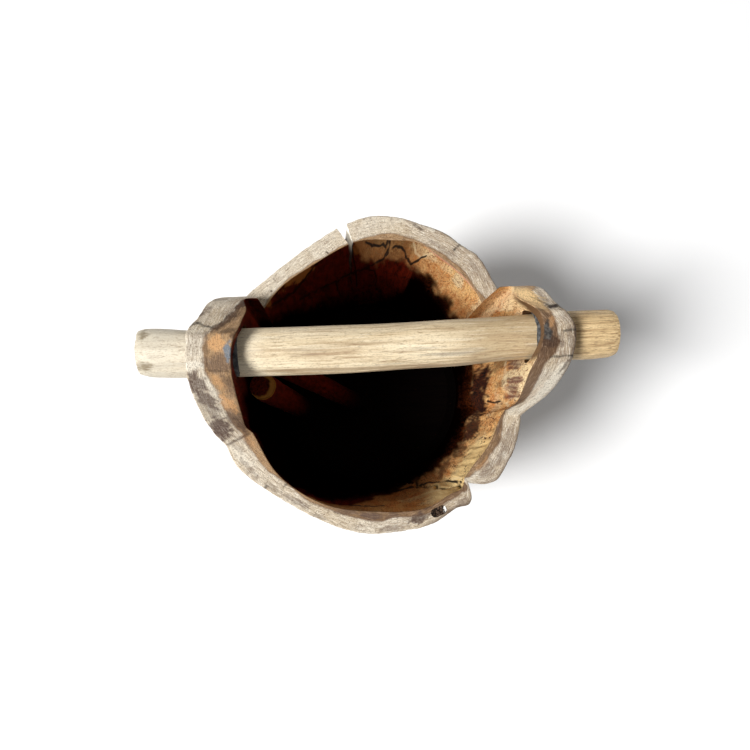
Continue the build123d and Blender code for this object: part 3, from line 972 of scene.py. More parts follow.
for number, (mark, rows) in enumerate(wall_patches_px.items()):
    paint(log_shell, mark, most([
        strength * wall_spot(pixel, along, up, 500 + 60 * number + spot)
        for spot, (pixel, along, up, strength) in enumerate(rows)
    ]))
for number, (mark, lines) in enumerate(wall_lines_px.items()):
    paint(log_shell, mark, most([wall_line(line, 20 + 30 * number + row) for row, line in enumerate(lines)]))
patchy = 9 * mm * waves(upright_places, 30 * mm, 80) + 6 * mm * waves(upright_places, 9 * mm, 81)
plain_angles = angles % 360
dark_below, black_below = by_angle(dark_below_mm, angles), by_angle(black_below_mm, angles)
above_dark = height_mm - dark_below
near_wall = window(plain_angles, 286, 296, 322, 334)
# Where the wall is gold: partly the wood's honey colour, partly painted light where the light falls.
paint(log_shell, "honey", smooth(-14, 16, (heights + patchy) / mm - dark_below))
# Painted shade: below this line the wall goes to near black.
paint(log_shell, "lit", smooth(-30, 42, (heights + patchy) / mm - black_below))
# Painted shade: the gold darkens towards the line where the wall turns dark.
paint(log_shell, "painted_shade_deep", smooth(75, 5, above_dark + patchy / mm))
# Painted light: brightens the gold on the near wall, where the lamp reaches little.
paint(log_shell, "painted_light_near_wall", near_wall * smooth(30, 110, above_dark + 2 * patchy / mm))
paint(log_shell, "dull", by_angle(dull_shares, angles))
paint(log_shell, "red_ember", window(plain_angles, 60, 72, 255, 285))
paint(log_shell, "speckle", window(plain_angles, 296, 306, 338, 352))
paint(log_shell, "ear_brown", smooth(356, 368, height_mm) * window(signed, -4, 0, 20, 30))
# A painted highlight: a thin pink band along the top of the hollow's wall on the far right.
paint(log_shell, "painted_edge_highlight", smooth(292, 297, height_mm) * window(signed, 36, 40, 60, 70))
paint(log_shell, "seam", seam_nearness(angles, heights))
from_hollow = radii - hollow_radius(angles, heights)
# Painted light: the split's upper wall, and the hole's wall over the pole, go near white.
in_split = smooth(16, 12, np.abs(signed - 104)) * smooth(250, 275, height_mm)
split_painted_light = in_split * smooth(0.5 * mm, 2.5 * mm, from_hollow)
behind_pole = places[:, 1] > pole_offset
over_pole = 0.7 * smooth(98, 104, places[:, 0] / mm) * smooth(358, 366, height_mm) * behind_pole
paint(log_shell, "painted_light_torn", np.maximum(split_painted_light, over_pole))
# Painted shade: the split's inner end goes near black.
paint(log_shell, "painted_split_shade", smooth(16, 12, np.abs(signed - 102)) * smooth(2.5 * mm, 0.5 * mm, from_hollow))
finish_piece(log_shell, "bucket", "log_wood", "trunk_shell")

# %% [markdown]
# Shaders. A few helpers keep the node trees short: one adds a node and sets or links its inputs, one lays a
# list of colours over each other, and the others name the small sums that wood needs. Colours are written as
# the screen shows them and turned linear in one place.

# %% Shader helpers


def screen(red, green, blue):
    """A colour as the screen shows it, 0 to 255, as the linear colour that a shader wants."""
    shown = np.array([red, green, blue]) / 255
    linear = np.where(shown <= 0.04045, shown / 12.92, ((shown + 0.055) / 1.055) ** 2.4)
    return (*linear.tolist(), 1.0)


def add(tree, kind, inputs=None, **options):
    """A node of a kind, with its options, and its inputs set to values or linked to other nodes' outputs."""
    made = tree.nodes.new("ShaderNode" + kind)
    for option, value in options.items():
        setattr(made, option, value)
    for socket, value in (inputs or {}).items():
        if isinstance(value, bpy.types.NodeSocket):
            tree.links.new(value, made.inputs[socket])
        else:
            made.inputs[socket].default_value = value
    return made


def painted(tree, name):
    """A number that was painted on the vertices."""
    return add(tree, "Attribute", attribute_name=name).outputs["Fac"]


def grain(tree, size, stretch=(1, 1, 1), detail=3.0, roughness=0.55, distortion=0.0):
    """Noise of a real size in metres, drawn out along an axis where its stretch is small."""
    place = add(tree, "TexCoord").outputs["Object"]
    scale = tuple(part / size for part in stretch)
    moved = add(tree, "Mapping", {"Vector": place, "Scale": scale}).outputs["Vector"]
    settings = {"Vector": moved, "Scale": 1.0, "Detail": detail}
    settings |= {"Roughness": roughness, "Distortion": distortion}
    return add(tree, "TexNoise", settings).outputs["Fac"]


def calc(tree, operation, first, second=0.0, clamp=False):
    return add(tree, "Math", {0: first, 1: second}, operation=operation, use_clamp=clamp).outputs[0]


def between(tree, value, low, high, to_low=0.0, to_high=1.0):
    """A value's place between two marks, clamped."""
    settings = {"Value": value, "From Min": low, "From Max": high, "To Min": to_low, "To Max": to_high}
    return add(tree, "MapRange", settings, clamp=True).outputs["Result"]


def mix(tree, share, first, second):
    """Two colours mixed by a share. A colour is another node's, or red, green and blue, 0 to 255."""
    first, second = (screen(*colour) if isinstance(colour, tuple) else colour for colour in (first, second))
    mixed = add(tree, "Mix", {0: share, 6: first, 7: second}, data_type="RGBA", clamp_factor=True)
    return mixed.outputs[2]


def times(tree, *values):
    """The product of several values."""
    product = values[0]
    for value in values[1:]:
        product = calc(tree, "MULTIPLY", product, value)
    return product


def lay(tree, wood, layers):
    """Colours laid over each other. A layer is what carries it, the two marks of that between which it comes
    in, its strength there, and its colour. A carrier in quotes is a painted number."""
    for carrier, start, full, strength, colour in layers:
        value = painted(tree, carrier) if isinstance(carrier, str) else carrier
        wood = mix(tree, between(tree, value, start, full, 0, strength), wood, colour)
    return wood


def stripes(tree, value, spacing, wander):
    """0 to 1 and back once for each spacing of a value, with the stripes pushed about by noise."""
    pushed = calc(tree, "ADD", value, wander)
    return between(tree, calc(tree, "SINE", times(tree, pushed, 2 * math.pi / spacing)), -1, 1)


def open_finish(name):
    """The cleared node tree of the material with that name, which is made if there is none yet."""
    material = bpy.data.materials.get(name) or bpy.data.materials.new(name)
    material.use_nodes = True
    material.node_tree.nodes.clear()
    return material.node_tree


def close_finish(tree, colour, roughness, height, depth, specular):
    """The wood shader itself: a colour, a roughness, and a bump whose depth is in metres."""
    bump = add(tree, "Bump", {"Strength": 1.0, "Distance": depth, "Height": height}).outputs["Normal"]
    settings = {"Base Color": colour, "Roughness": roughness, "Normal": bump, "Specular IOR Level": specular}
    shader = add(tree, "BsdfPrincipled", settings).outputs[0]
    add(tree, "OutputMaterial", {"Surface": shader})


print("shader helpers ready")

# %% [markdown]
# The sawn faces: cream sapwood that the weather greyed in places, brown heartwood, and rings that follow the
# bark. The rings come from the painted depth under the bark. A dark line parts heartwood from sapwood.

# %% Sawn wood
cream_sap = (222, 210, 189)
warm_sap = (206, 187, 157)
grey_sap = (166, 148, 127)
tan_heart = (200, 162, 116)
brown_heart = (80, 50, 25)
ring_brown = (124, 98, 74)
putty_pale = (96, 90, 84)
putty_slate = (46, 42, 39)
patch_tones = {
    "tan": (242, 206, 150), "bleached": (232, 223, 205), "orange": (214, 162, 108), "stain": (82, 64, 56),
    "dark_mark_and_shade": (52, 31, 16), "slate": (120, 128, 136),
}


def along_rings(tree, across_mm, along_mm, detail, shift):
    """Noise whose grains are drawn out along the rings: their size across them and along them."""
    across = calc(tree, "DIVIDE", painted(tree, "ring_mm"), across_mm)
    along = calc(tree, "DIVIDE", painted(tree, "round_mm"), along_mm)
    place = add(tree, "CombineXYZ", {0: across, 1: along, 2: shift}).outputs[0]
    settings = {"Vector": place, "Scale": 1.0, "Detail": detail, "Roughness": 0.6}
    return add(tree, "TexNoise", settings).outputs["Fac"]


def sawn_wood():
    tree = open_finish("sawn_wood")
    ring, browned = painted(tree, "ring_mm"), painted(tree, "heart_brown")
    slow, quick = grain(tree, 26 * mm, detail=4), grain(tree, 1.8 * mm, detail=3)
    wide_rings = stripes(tree, ring, 3.4, times(tree, slow, 9.0))
    close_rings = stripes(tree, ring, 1.5, times(tree, slow, 3.0))
    streaks = along_rings(tree, 0.8, 9.0, 3, 1.0)
    broad = along_rings(tree, 3.0, 26.0, 3, 5.0)
    pores = along_rings(tree, 0.55, 1.4, 1, 9.0)
    uneven = between(tree, broad, 0.35, 0.65, -0.3, 0.3)
    grey = calc(tree, "ADD", painted(tree, "sap_grey"), uneven, clamp=True)
    sap = lay(tree, mix(tree, grey, cream_sap, grey_sap), [(slow, 0.42, 0.66, 0.7, warm_sap)])
    heart = lay(tree, mix(tree, browned, tan_heart, brown_heart), [
        (broad, 0.40, 0.70, 0.20, (126, 104, 84)),
        (times(tree, between(tree, streaks, 0.46, 0.60), browned), 0, 1, 0.7, (54, 32, 16)),
        (times(tree, between(tree, streaks, 0.46, 0.34), browned), 0, 1, 0.6, (152, 108, 62)),
    ])
    on_sap = between(tree, painted(tree, "heart"), 0, 1, 1.0, 0.2)
    lighter = times(tree, between(tree, streaks, 0.49, 0.34), on_sap)
    wood = lay(tree, mix(tree, painted(tree, "heart"), sap, heart), [
        (wide_rings, 0.55, 1.00, 0.18, ring_brown), (close_rings, 0.50, 1.00, 0.16, ring_brown),
        (streaks, 0.50, 0.68, 0.50, (120, 96, 74)), (lighter, 0, 1, 0.60, (246, 239, 223)),
    ])
    ragged = between(tree, calc(tree, "ADD", streaks, quick), 0.75, 1.25, 0.75, 1.2)
    # The near-black patches are partly dark spots on the wood and partly painted shade in gaps and crack
    # mouths.
    patches = [
        (times(tree, painted(tree, tone), ragged), 0, 1, 1, colour) for tone, colour in patch_tones.items()
    ]
    putty = mix(tree, between(tree, grain(tree, 5 * mm), 0.36, 0.52), putty_pale, putty_slate)
    # The arris layer is painted shade along the outer edge of the sawn face.
    wood = lay(tree, wood, patches + [
        (pores, 0.56, 0.68, 0.70, (82, 58, 40)), (quick, 0.55, 0.66, 0.38, (92, 68, 48)),
        ("heart_line", 0, 1, 0.50, (88, 60, 38)), ("arris", 0, 1, 0.75, (72, 52, 36)),
        ("sawn_line", 0, 1, 0.95, (22, 14, 9)), ("putty_smear", 0, 1, 1, putty),
    ])
    height = calc(tree, "ADD", times(tree, streaks, 0.8), times(tree, quick, 0.9))
    close_finish(tree, wood, 0.72, height, 0.5 * mm, 0.3)


sawn_wood()
print("sawn wood made")

# %% [markdown]
# The hollow: dark red-brown heartwood that runs to honey where the light reaches, the honey partly painted
# light, figured along the grain, with spalting lines, purple knots and a bottom painted near black as shade.
# This painted light and shade follow height and side, painted on the surface itself, so they stay where they
# are from any view.

# %% Hollow wood
honey_wood = (253, 203, 134)
amber_wood = (222, 146, 80)
straw_wood_and_light = (254, 228, 180)
dull_tan = (120, 86, 48)
painted_shade_black = (3, 0, 0)


def hollow_wood():
    tree = open_finish("hollow_wood")
    streak = grain(tree, 5 * mm, (1, 1, 0.2), 4, 0.6, 0.6)
    swirl = grain(tree, 30 * mm, (1, 1, 0.22), 5, 0.6, 2.2)
    fine = grain(tree, 1.7 * mm, (1, 1, 0.3), 3)
    clumps = grain(tree, 12 * mm, (1, 1, 0.25), 2)
    bands = stripes(tree, times(tree, swirl, 14.0), 1.0, times(tree, streak, 1.2))
    # Pale spots: partly pale wood, mostly painted light and painted highlights.
    pale = times(tree, painted(tree, "pale"), between(tree, bands, 0.95, 0.55, 0.55, 1.0))
    spotted = times(tree, between(tree, fine, 0.55, 0.66), between(tree, clumps, 0.40, 0.62, 0.2, 0.8))
    dull = times(tree, painted(tree, "dull"), between(tree, clumps, 0.3, 0.6, 1.0, 0.75))
    flecked = times(
        tree, between(tree, fine, 0.54, 0.60), between(tree, clumps, 0.50, 0.60), painted(tree, "speckle")
    )
    figure = mix(tree, between(tree, bands, 0.45, 0.95), (14, 3, 1), (86, 38, 14))
    purple = mix(tree, between(tree, streak, 0.4, 0.62), (150, 94, 84), (92, 48, 44))
    gold = lay(tree, mix(tree, between(tree, swirl, 0.38, 0.60), amber_wood, honey_wood), [
        (clumps, 0.45, 0.65, 0.45, amber_wood), (streak, 0.50, 0.72, 0.38, (172, 104, 52)),
        (pale, 0, 1, 1, straw_wood_and_light), (bands, 0.72, 1.00, 0.72, (132, 72, 32)),
        (spotted, 0, 1, 1, (112, 56, 24)), (fine, 0.45, 0.34, 0.45, (255, 230, 174)),
        # Painted shade: the layer that darkens the gold towards the dark line.
        (dull, 0, 1, 1, dull_tan), ("painted_shade_deep", 0, 1, 0.3, (160, 92, 46)),
        # Painted light: the layer that brightens the gold on the near wall.
        ("painted_light_near_wall", 0, 1, 0.85, (255, 222, 156)), ("figured", 0, 1, 1, figure),
        ("purple", 0, 1, 1, purple), ("purple_line", 0, 1, 0.85, (92, 44, 40)),
        (flecked, 0, 1, 1, (70, 22, 12)), ("light_line", 0.3, 0.8, 0.5, (255, 232, 186)),
        # A painted highlight along the top edge of the hollow's wall.
        ("painted_edge_highlight", 0, 1, 0.7, (222, 164, 142)),
    ])
    ember = lay(tree, mix(tree, between(tree, streak, 0.36, 0.66), (92, 24, 9), (38, 7, 3)), [
        (bands, 0.80, 1.00, 0.6, (26, 5, 3)), ("brown_field", 0, 1, 1, (168, 112, 58)),
    ])
    ember = mix(tree, painted(tree, "red_ember"), figure, ember)
    ear_brown = mix(tree, streak, (128, 94, 60), (62, 40, 24))
    # Gold where the wall is lit, dark red-brown where it is not: partly the wood's own colours, partly painted
    # light and shade.
    wood = lay(tree, mix(tree, painted(tree, "honey"), ember, gold), [
        ("ear_brown", 0, 1, 1, ear_brown), ("spalt", 0.30, 0.72, 0.96, (16, 4, 2)),
        ("fold_line", 0.25, 0.60, 0.97, (10, 3, 2)), ("seam", 0, 1, 0.95, (8, 3, 2)),
    ])
    # Painted shade: the wall turns near black low in the hollow.
    wood = mix(tree, painted(tree, "lit"), painted_shade_black, wood)
    height = calc(tree, "ADD", streak, times(tree, fine, 0.5))
    shine = times(tree, painted(tree, "lit"), between(tree, painted(tree, "honey"), 0, 1, 0.04, 0.35))
    close_finish(tree, wood, 0.6, height, 0.8 * mm, shine)


hollow_wood()

# %% The outside and the torn walls


def outer_wood():
    """Debarked and weathered: grey-brown, streaked along the grain, with fine checks."""
    tree = open_finish("outer_wood")
    streak = grain(tree, 5 * mm, (1, 1, 0.06), 4, 0.6)
    broad = grain(tree, 40 * mm, (1, 1, 0.25), 4, 0.6)
    check = between(tree, grain(tree, 9 * mm, (1, 1, 0.03), 3, 0.5), 0.68, 0.72)
    wood = mix(tree, between(tree, broad, 0.35, 0.65), (196, 174, 142), (158, 134, 106))
    wood = lay(tree, wood, [(streak, 0.45, 0.75, 0.6, (118, 94, 70)), (check, 0, 1, 1, (60, 44, 32))])
    height = calc(tree, "SUBTRACT", streak, times(tree, check, 0.8))
    close_finish(tree, wood, 0.78, height, 0.9 * mm, 0.25)


def torn_wood():
    """The walls of the holes, the split and the cracks: rough, brown and shadowed, with painted shade at the
    split's inner end and painted light, near white, on the split's upper wall and on the hole's wall over the
    pole.
    """
    tree = open_finish("torn_wood")
    fibre = grain(tree, 3 * mm, (1, 1, 0.15), 4, 0.6)
    wood = mix(tree, between(tree, fibre, 0.35, 0.7), (112, 80, 52), (46, 30, 20))
    wood = lay(tree, wood, [("painted_split_shade", 0, 1, 1, (6, 2, 1)), ("painted_light_torn", 0, 1, 1, (253, 248, 238))])
    close_finish(tree, wood, 0.85, fibre, 0.6 * mm, 0.05)


outer_wood()
torn_wood()
print("log finishes:", [str(finish) for finish in log_shell.data.materials])

# %% [markdown]
# The pole: a debarked natural pole. A short table along its length gives its girth, its sway and its lift, as
# shares of its radius, and shallow ridges run along the grain. The sawn ends are faces of their own, with a
# worn arris.

# %% The pole's shape
pole_station_shares = [
    (-1.0, 1.0, 0.0, 0.0), (-0.90, 1.03, -0.055, 0.0), (-0.79, 0.995, -0.13, 0.0),
    (-0.58, 0.995, -0.165, 0.0), (-0.32, 1.015, -0.20, 0.02), (-0.05, 1.005, -0.215, 0.03),
    (0.18, 0.99, -0.155, 0.02), (0.36, 0.99, -0.11, 0.01), (0.56, 0.955, -0.02, 0.0),
    (0.79, 1.02, -0.02, 0.03), (0.89, 1.045, -0.03, 0.04), (1.0, 1.02, 0.0, 0.04),
]
pole_end_round = 5.0 * mm
cap_rings = 7
pole_body_rows = 230
pole_columns = 120
pole_facet_px = (538, 333)


def along_profile(body_rows, half_length, round_radius):
    """Rows along a sawn round stick, cap to cap: each one's place, how far its radius is drawn in for the
    worn arris, and its scale on the caps."""
    turn = np.linspace(0, np.pi / 2, 7)[1:-1]
    arris = -half_length + round_radius * (1 - np.sin(turn))
    inset = round_radius * np.cos(turn)
    body = np.linspace(-half_length + round_radius, half_length - round_radius, body_rows)
    cap, cap_inset = np.full(cap_rings, half_length), np.full(cap_rings, round_radius)
    cap_scale = np.linspace(0.03, 1, cap_rings)
    place = np.concatenate([-cap, arris, body, -arris[::-1], cap])
    drawn = np.concatenate([cap_inset, inset, np.zeros(body_rows), inset[::-1], cap_inset])
    scale = np.concatenate([cap_scale, np.ones(len(place) - 2 * cap_rings), cap_scale[::-1]])
    return place, drawn, scale


def pole_grid():
    place, drawn, scale = along_profile(pole_body_rows, pole_half, pole_end_round)
    share = place / pole_half
    knots = [row[0] for row in pole_station_shares]
    girth, sway, lift = (
        pole_radius * natural_spline(knots, [row[column] for row in pole_station_shares], share)
        for column in (1, 2, 3)
    )
    turn = full_turn(pole_columns)
    x = place[:, None]
    still = xyz(x, pole_radius * np.cos(turn), pole_radius * np.sin(turn))
    ridges = waves(still * [0.05, 1, 1], 7 * mm, 90)
    lumps = waves(still * [0.5, 1, 1], 38 * mm, 91)
    relief = mm * (0.55 + 0.20 * ridges + 0.35 * lumps)
    facet_place = at_height(pole_facet_px, pole_height + pole_radius)
    facet = np.exp(-(((x - facet_place[0]) / (9 * mm)) ** 2)) * np.clip(np.sin(turn), 0, 1) ** 6
    chips = np.exp(-(((x + pole_half) / (7 * mm)) ** 2)) * np.clip(waves(still, 13 * mm, 92), 0, 1)
    radius = girth[:, None] - drawn[:, None] - np.clip(relief, 0, None) - 1.1 * mm * facet - 1.6 * mm * chips
    radius = radius * scale[:, None]
    saw_tilt = np.where(scale < 1, 1.0, 0.0)[:, None] * radius * np.sin(turn) * 0.03 * np.sign(x)
    y = pole_offset + sway[:, None] + radius * np.cos(turn)
    z = pole_height + lift[:, None] + radius * np.sin(turn)
    return xyz(x - np.abs(saw_tilt) * np.sign(x), y, z)


pole = closed_surface("carrying_pole", pole_grid())
pole_places = positions(pole)

# %% The pole's paint and finish
pole_marks_px = [
    ((141, 335), 5.0, 5.5, 0.75), ((142, 366), 4.0, 8.0, 0.75), ((379, 338), 0.9, 0.9, 0.9),
    ((379, 344), 0.9, 0.9, 0.9), ((531, 336), 2.5, 9.0, 0.35), ((181, 331), 2.5, 5.0, 0.4),
]


def pole_mark(pixel, across, along, strength, seed):
    """Its strength in a ragged oval on the pole's upper half: half width and half length in mm."""
    middle = at_height(pixel, pole_height + 0.9 * pole_radius)
    upper = pole_places[:, 2] > pole_height
    return strength * blot(pole_places, middle, across * mm, along * mm, 0, seed) * upper


pole_x = pole_places[:, 0]
left_stub_end = -trunk_radius * 1.05
right_stub_start = trunk_radius * 1.03
paint(pole, "pole_mark", most([pole_mark(*row, 600 + number) for number, row in enumerate(pole_marks_px)]))
paint(pole, "streaked", smooth(5 * mm, -15 * mm, pole_places[:, 1] - pole_offset))
paint(pole, "bleached", smooth(left_stub_end + 8 * mm, left_stub_end - 4 * mm, pole_x))
# Painted light: the pole is lightened by the left ear, where the ear's shadow falls on it.
paint(pole, "painted_light_by_ear", smooth(-98 * mm, -116 * mm, pole_x) * (pole_x > left_stub_end))
paint(pole, "dimmed", 0.85 * smooth(40 * mm, 105 * mm, pole_x))
paint(pole, "yellowed", smooth(right_stub_start - 6 * mm, right_stub_start + 6 * mm, pole_x))


def pole_wood():
    tree = open_finish("pole_wood")
    long_grain = grain(tree, 1.9 * mm, (0.045, 1, 1), 5, 0.7, 0.3)
    broad = grain(tree, 9 * mm, (0.09, 1, 1), 4, 0.6, 0.4)
    pores = grain(tree, 1.2 * mm, (0.16, 1, 1), 3)
    greys = grain(tree, 6 * mm, (0.06, 1, 1), 3)
    mottle = grain(tree, 1.0 * mm, (0.5, 1, 1), 3)
    streaked = painted(tree, "streaked")
    yellow = mix(tree, between(tree, long_grain, 0.44, 0.66), (226, 196, 146), (142, 108, 66))
    yellow = lay(tree, yellow, [(pores, 0.52, 0.66, 0.55, (110, 76, 44))])
    dotted = times(tree, painted(tree, "pole_mark"), between(tree, pores, 0.35, 0.55, 0.3, 1.0))
    wood = mix(tree, between(tree, broad, 0.35, 0.7), (238, 222, 190), (212, 189, 150))
    # By the left ear, the pole is lightened as painted light against the ear's shadow.
    wood = lay(tree, wood, [
        ("dimmed", 0, 1, 1, (184, 160, 122)), (long_grain, 0.50, 0.66, 0.70, (160, 130, 94)),
        (long_grain, 0.45, 0.32, 0.45, (250, 240, 216)),
        (times(tree, between(tree, broad, 0.50, 0.64), streaked), 0, 1, 0.62, (138, 108, 80)),
        (times(tree, between(tree, greys, 0.55, 0.70), streaked), 0, 1, 0.6, (132, 122, 110)),
        ("bleached", 0, 1, 0.7, (216, 210, 194)), ("painted_light_by_ear", 0, 1, 0.3, (250, 240, 216)),
        ("yellowed", 0, 1, 0.8, yellow), (dotted, 0, 1, 1, (118, 102, 72)),
        (pores, 0.56, 0.70, 0.55, (120, 94, 66)), (mottle, 0.52, 0.66, 0.35, (150, 124, 90)),
    ])
    height = calc(tree, "ADD", long_grain, times(tree, pores, 0.4))
    close_finish(tree, wood, 0.6, height, 0.35 * mm, 0.35)


pole_wood()
pole.data.materials.append(bpy.data.materials["pole_wood"])
finish_piece(pole, "bucket", "pole_wood", "handle_pole")

# %% [markdown]
# The putty over the pole in each ear is a crescent between the hole and the pole, carried along X. It is
# drawn in a little at the end where it stands out into the bucket.

# %% Putty
putty_reach = 8.0 * mm
putty_gap = 0.25 * mm


def putty_grid(side, inner_end, outer_end, seed):
    rows, columns = 26, 44
    x = np.linspace(inner_end, outer_end, rows)[:, None]
    low = pole_height + putty_reach
    start_outer = math.asin((low - hole_height) / (hole_radius - putty_gap))
    start_inner = math.asin((low - pole_height) / (pole_radius + putty_gap))
    outer_turn = np.linspace(start_outer, np.pi - start_outer, columns)[None, :]
    inner_turn = np.linspace(np.pi - start_inner, start_inner, columns)[None, :]
    bead = 1 - 0.5 * np.exp(-(((x - inner_end) / (2.2 * mm)) ** 2))
    over = hole_radius - putty_gap - 0.9 * mm * (1 - bead)
    under = pole_radius + putty_gap
    middle = hole_offset(side)
    outer = xyz(x, middle + over * np.cos(outer_turn), hole_height + over * np.sin(outer_turn))
    inner = xyz(x, middle + under * np.cos(inner_turn), pole_height + under * np.sin(inner_turn))
    grid = np.concatenate([outer, inner], 1)
    ends = np.zeros((rows, 1))
    ends[0], ends[-1] = 1, 1
    grid[..., 0] += side * ends * 0.8 * mm * np.abs(waves(grid, 6 * mm, seed))
    return grid


def putty():
    tree = open_finish("putty")
    lump = grain(tree, 4 * mm, detail=4)
    tone = mix(tree, between(tree, lump, 0.38, 0.62), (104, 105, 104), (52, 53, 54))
    close_finish(tree, tone, 0.85, lump, 0.8 * mm, 0.2)


putty()
for name, side, node in (("left_putty", -1, "left_filler"), ("right_putty", 1, "right_filler")):
    low_corner, high_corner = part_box(node)
    near_end, far_end = (high_corner[0], low_corner[0]) if side < 0 else (low_corner[0], high_corner[0])
    filler = closed_surface(name, putty_grid(side, near_end, far_end, 700 + side))
    filler.data.materials.append(bpy.data.materials["putty"])
    finish_piece(filler, "bucket", "putty", node)

# %% [markdown]
# The dead knot is a plug with a torn, fibrous top. Its rings shrink towards the middle of the top, and noise
# raises and lowers them as broken fibres.

# %% The dead knot
knot_gap = 0.35 * mm
knot_top_drop = 1.2 * mm
splinter_px = (446, 508)


def knot_grid():
    """The plug's straight side, and rings that shrink to the middle of its torn top."""
    top_edge = rim_height - knot_top_drop
    side = slot_grid(
        knot_middle, knot_angle + 90, knot_length - 2 * knot_gap, knot_width - 2 * knot_gap,
        rim_height - knot_depth + knot_gap, top_edge,
    )
    shrink = np.linspace(1, 0.02, 16)[1:, None, None]
    middle = np.append(knot_middle, top_edge)
    top = middle + (side[-1:] - middle) * shrink
    fibre = waves(top * [1, 1, 0], 1.6 * mm, 801) + 0.7 * waves(top * [1, 1, 0], 4 * mm, 802)
    top[..., 2] = rim_height - 0.4 * mm - mm * np.clip(1.6 + 1.3 * fibre, 0, 5)
    return np.concatenate([side, top])


dead_knot = closed_surface("dead_knot", knot_grid())
knot_places = positions(dead_knot)
paint(dead_knot, "splinter", blot(knot_places, on_saw(splinter_px), 2.0 * mm, 5.5 * mm, 62, 50))


def knot_wood():
    tree = open_finish("knot_wood")
    fibre = grain(tree, 1.4 * mm, (1, 1, 0.6), 3)
    wood = mix(tree, between(tree, fibre, 0.42, 0.66), (16, 9, 7), (120, 96, 78))
    wood = mix(tree, painted(tree, "splinter"), wood, (252, 250, 246))
    close_finish(tree, wood, 0.85, fibre, 1.2 * mm, 0.2)


knot_wood()
dead_knot.data.materials.append(bpy.data.materials["knot_wood"])
finish_piece(dead_knot, "bucket", "knot_wood", "rim_knot")

# %% [markdown]
# The two cut sticks stand on the board and lean on the wall under the left ear. Each keeps its own body, so
# that it can be drawn out. Their bark is dark and goes near black towards the board as painted shade, and the
# sawn end shows heartwood with a pale sapwood crescent, on one side only as painted light.

# %% The sticks
stick_seat_gap = 0.4 * mm
stick_wall_gap = 1.0 * mm
stick_round = 1.4 * mm
thick_stick_radius = 14 * mm
thin_stick_radius = 12 * mm
left_ear_angle = 176.0
left_ear_hollow = hollow_radius([left_ear_angle], rim_height)[0]


def stick_axis(radius, foot_angle, foot_share, top_angle, top_share):
    """The two ends of a stick's axis: its lowest edge stands on the board, its top is by the wall."""
    foot_plan = polar(bore_radius * foot_share, foot_angle)
    end = np.append(polar(left_ear_hollow - radius - stick_wall_gap, top_angle), rim_height * top_share)
    seat = np.append(foot_plan, board_top + stick_seat_gap)
    lean = math.acos((end - seat)[2] / np.linalg.norm(end - seat))
    return seat + np.array([0, 0, radius * math.sin(lean)]), end


def stick_piece(name, node, radius, seed, *where):
    """A round stick with bark and a sawn top end, and its paint."""
    start, end = stick_axis(radius, *where)
    length = np.linalg.norm(end - start)
    axis = (end - start) / length
    side = unit(np.cross(axis, [0, 1, 0]))
    ahead = np.cross(axis, side)
    place, drawn, scale = along_profile(120, length / 2, stick_round)
    turn = full_turn(72)
    still = xyz(place[:, None], radius * np.cos(turn), radius * np.sin(turn))
    bark = 0.5 + 0.3 * waves(still * [0.15, 1, 1], 6 * mm, seed)
    bark += 0.35 * waves(still * [0.5, 1, 1], 30 * mm, seed + 1)
    girth = (radius - drawn[:, None] - mm * np.clip(bark, 0, None)) * scale[:, None]
    grid = (
        start + (place[:, None, None] + length / 2) * axis
        + (girth * np.cos(turn))[..., None] * side + (girth * np.sin(turn))[..., None] * ahead
    )
    piece = closed_surface(name, grid)
    points = positions(piece) - start
    offset = np.stack([points @ side, points @ ahead], -1) / radius
    # The pale sapwood crescent on the sawn end, on one side only as painted light.
    pale = smooth(0.72, 0.80, np.linalg.norm(offset - np.array([-0.22, 0.08]) * np.sign(side[0]), axis=1))
    on_end = smooth(length - 1.6 * mm, length - 0.6 * mm, points @ axis)
    paint(piece, "lit_sapwood_crescent", pale * on_end)
    paint(piece, "sawn_end", on_end)
    # Painted shade: the bark goes near black towards the lower end.
    paint(piece, "painted_shade_fade", smooth(0.05, 0.55, points @ axis / length))
    piece.data.materials.append(bpy.data.materials["stick_wood"])
    finish_piece(piece, node, "stick_wood", node)


def stick_wood():
    tree = open_finish("stick_wood")
    bark_grain = grain(tree, 4 * mm, (1, 1, 0.25), 4)
    bark = mix(tree, between(tree, bark_grain, 0.35, 0.65), (92, 24, 11), (56, 12, 5))
    # Painted shade: the bark goes near black towards the board.
    bark = mix(tree, painted(tree, "painted_shade_fade"), (2, 0, 0), bark)
    speck = grain(tree, 2 * mm, detail=3)
    face = mix(tree, between(tree, speck, 0.4, 0.62), (104, 36, 18), (52, 14, 8))
    face = mix(tree, painted(tree, "lit_sapwood_crescent"), face, (188, 128, 58))
    wood = mix(tree, painted(tree, "sawn_end"), bark, face)
    close_finish(tree, wood, 0.8, bark_grain, 0.6 * mm, 0.04)


stick_wood()
stick_piece("thick_stick_wood", "thick_stick", thick_stick_radius, 900, 191.5, 0.76, 184.8, 0.967)
stick_piece("thin_stick_wood", "thin_stick", thin_stick_radius, 910, 227.0, 0.17, 169.0, 0.893)

# %% [markdown]
# The board keeps its imported shape and gets a finish: wood painted nearly black as shade, with its grain
# across the bucket.

# %% The board
def board_wood():
    tree = open_finish("board_wood")
    long_grain = grain(tree, 3 * mm, (0.08, 1, 1), 4)
    # Painted shade: the board is coloured nearly black for the dark bottom of the hollow.
    wood = mix(tree, between(tree, long_grain, 0.35, 0.7), (7, 3, 2), (3, 1, 1))
    close_finish(tree, wood, 0.9, long_grain, 0.5 * mm, 0.03)


board_wood()
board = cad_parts["bottom_board"]
board.data.materials.clear()
board.data.materials.append(bpy.data.materials["board_wood"])

# %% [markdown]
# The light: one large soft lamp to the left and a little in front, low enough that the wall throws a long
# soft shadow to the right, and a dim even sky. The floor is white paper. What the lamps leave short of pure
# white is added for the camera alone, so the shadow stays and the object isn't lit any brighter for it.

